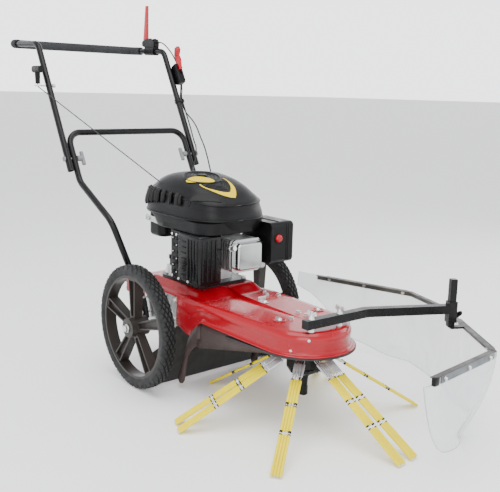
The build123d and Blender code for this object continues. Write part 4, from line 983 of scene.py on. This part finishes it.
# ---------------------------------------------------------------- guard frame and post
POST = Vector((0.731, 0.380, 0.0))
POST_TURN = atan2(0.380 - 0.143, 0.731 - 0.604)
bar_parts = []
for a, b in zip(BAR_LINE, BAR_LINE[1:]):
    a, b = Vector((*a, GUARD_Z)), Vector((*b, GUARD_Z))
    heading = atan2(b.y - a.y, b.x - a.x)
    turn_to = Matrix.Rotation(heading, 3, "Z")
    inward = turn_to @ Vector((0, -1, 0))
    bar_parts.append(block((a + b) / 2, ((b - a).length + 0.002, BAR_T, 0.018), turn_to, bevel=0.0008))
    bar_parts.append(block((a + b) / 2 + inward * 0.007 + Vector((0, 0, 0.0078)),
                           ((b - a).length, 0.014, 0.0025), turn_to, bevel=0.0006))
bars = piece("guard_bars", *join(bar_parts), DARK_STEEL, "guard", smooth=False)
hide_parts("guard_frame")
post_turn = Matrix.Rotation(POST_TURN, 3, "Z")
post_parts = [block(POST + Vector((0, 0, 0.343)), (0.020, 0.020, 0.146), post_turn, bevel=0.0016),
              block((0.747, 0.402, 0.2685), (0.062, 0.022, 0.006), post_turn, bevel=0.001)]
piece("guard_post", *join(post_parts), BLACK_PAINT, "guard", smooth=False)
end_cap = block((0.9622, -0.004, GUARD_Z), (0.011, 0.020, 0.022), bevel=0.002)
piece("bar_end_cap", *end_cap, BLACK_PLASTIC, "guard")

# ---------------------------------------------------------------- small pressed and turned details
DISH_SPOTS = ((0.464, -0.066), (0.455, 0.098))
DISH_SECTION = [(0.019, 0.0), (0.0185, 0.0016), (0.0165, 0.0026), (0.0145, 0.0016), (0.012, 0.0004),
                (0.0005, 0.0004)]
dish_parts = [turned(DISH_SECTION, (x, y, DECK_TOP), (0, 0, 1)) for x, y in DISH_SPOTS]
piece("deck_dimples", *join(dish_parts), RED_PAINT, "chassis")
tab = [block((0.300, 0.016, DECK_TOP + 0.0015), (0.018, 0.030, 0.003)),
       block((0.292, 0.016, DECK_TOP + 0.010), (0.003, 0.030, 0.020))]
for x, y in (*DISH_SPOTS, (0.300, 0.022)):
    tab.append(turned([(0.0075, 0.0), (0.0075, 0.0012), (0.0062, 0.0014), (0.0062, 0.006), (0.0003, 0.0064)],
                      (x, y, DECK_TOP + 0.0008), (0, 0, 1), 6))
for heading, z in ((-40, 0.282), (-62, 0.249)):
    out = Vector((cos(radians(heading)), sin(radians(heading)), 0))
    tab.append(turned([(0.005, 0.0), (0.0045, 0.0028), (0.0003, 0.0036)],
                      Vector((BRUSH_X, 0, z)) + out * (NOSE_R - 0.001), out, 14))
piece("deck_tab_and_screws", *join(tab), ZINC, "chassis")

# ---------------------------------------------------------------- floor and light
bpy.ops.mesh.primitive_plane_add(size=240, location=(0, 0, -0.0005))
floor = bpy.context.object
floor.name = "floor"
floor.data.materials.append(FLOOR)

HORIZON_LIGHT = 3.0
TOP_LIGHT = 1.25


def area_light(name, place, target, size, power):
    """Soft rectangular light that points at a target."""
    data = bpy.data.lights.new(name, "AREA")
    data.shape = "RECTANGLE"
    data.size, data.size_y = size
    data.energy = power
    lamp = bpy.data.objects.new(name, data)
    lamp.location = place
    lamp.rotation_euler = (Vector(target) - Vector(place)).to_track_quat("-Z", "Y").to_euler()
    bpy.context.scene.collection.objects.link(lamp)


area_light("overhead", (0.6, -0.4, 3.0), (0.2, 0, 0.2), (2.6, 2.6), 95)
area_light("camera_side", (2.6, -2.4, 1.9), (0.2, 0, 0.4), (1.6, 1.6), 42)
area_light("left_fill", (0.5, 3.0, 1.6), (0.3, 0, 0.3), (2.0, 1.4), 26)

world = bpy.data.worlds.new("studio")
world.use_nodes = True
sky = world.node_tree
compass = sky.nodes.new("ShaderNodeTexCoord")
split = sky.nodes.new("ShaderNodeSeparateXYZ")
dome = sky.nodes.new("ShaderNodeMapRange")
dome.inputs["From Min"].default_value = 0.10
dome.inputs["From Max"].default_value = 0.55
dome.inputs["To Min"].default_value = HORIZON_LIGHT
dome.inputs["To Max"].default_value = TOP_LIGHT
sky.links.new(compass.outputs["Generated"], split.inputs["Vector"])
sky.links.new(split.outputs["Z"], dome.inputs["Value"])
sky.links.new(dome.outputs["Result"], sky.nodes["Background"].inputs["Strength"])
sky.nodes["Background"].inputs["Color"].default_value = (0.97, 0.98, 1.0, 1)
bpy.context.scene.world = world
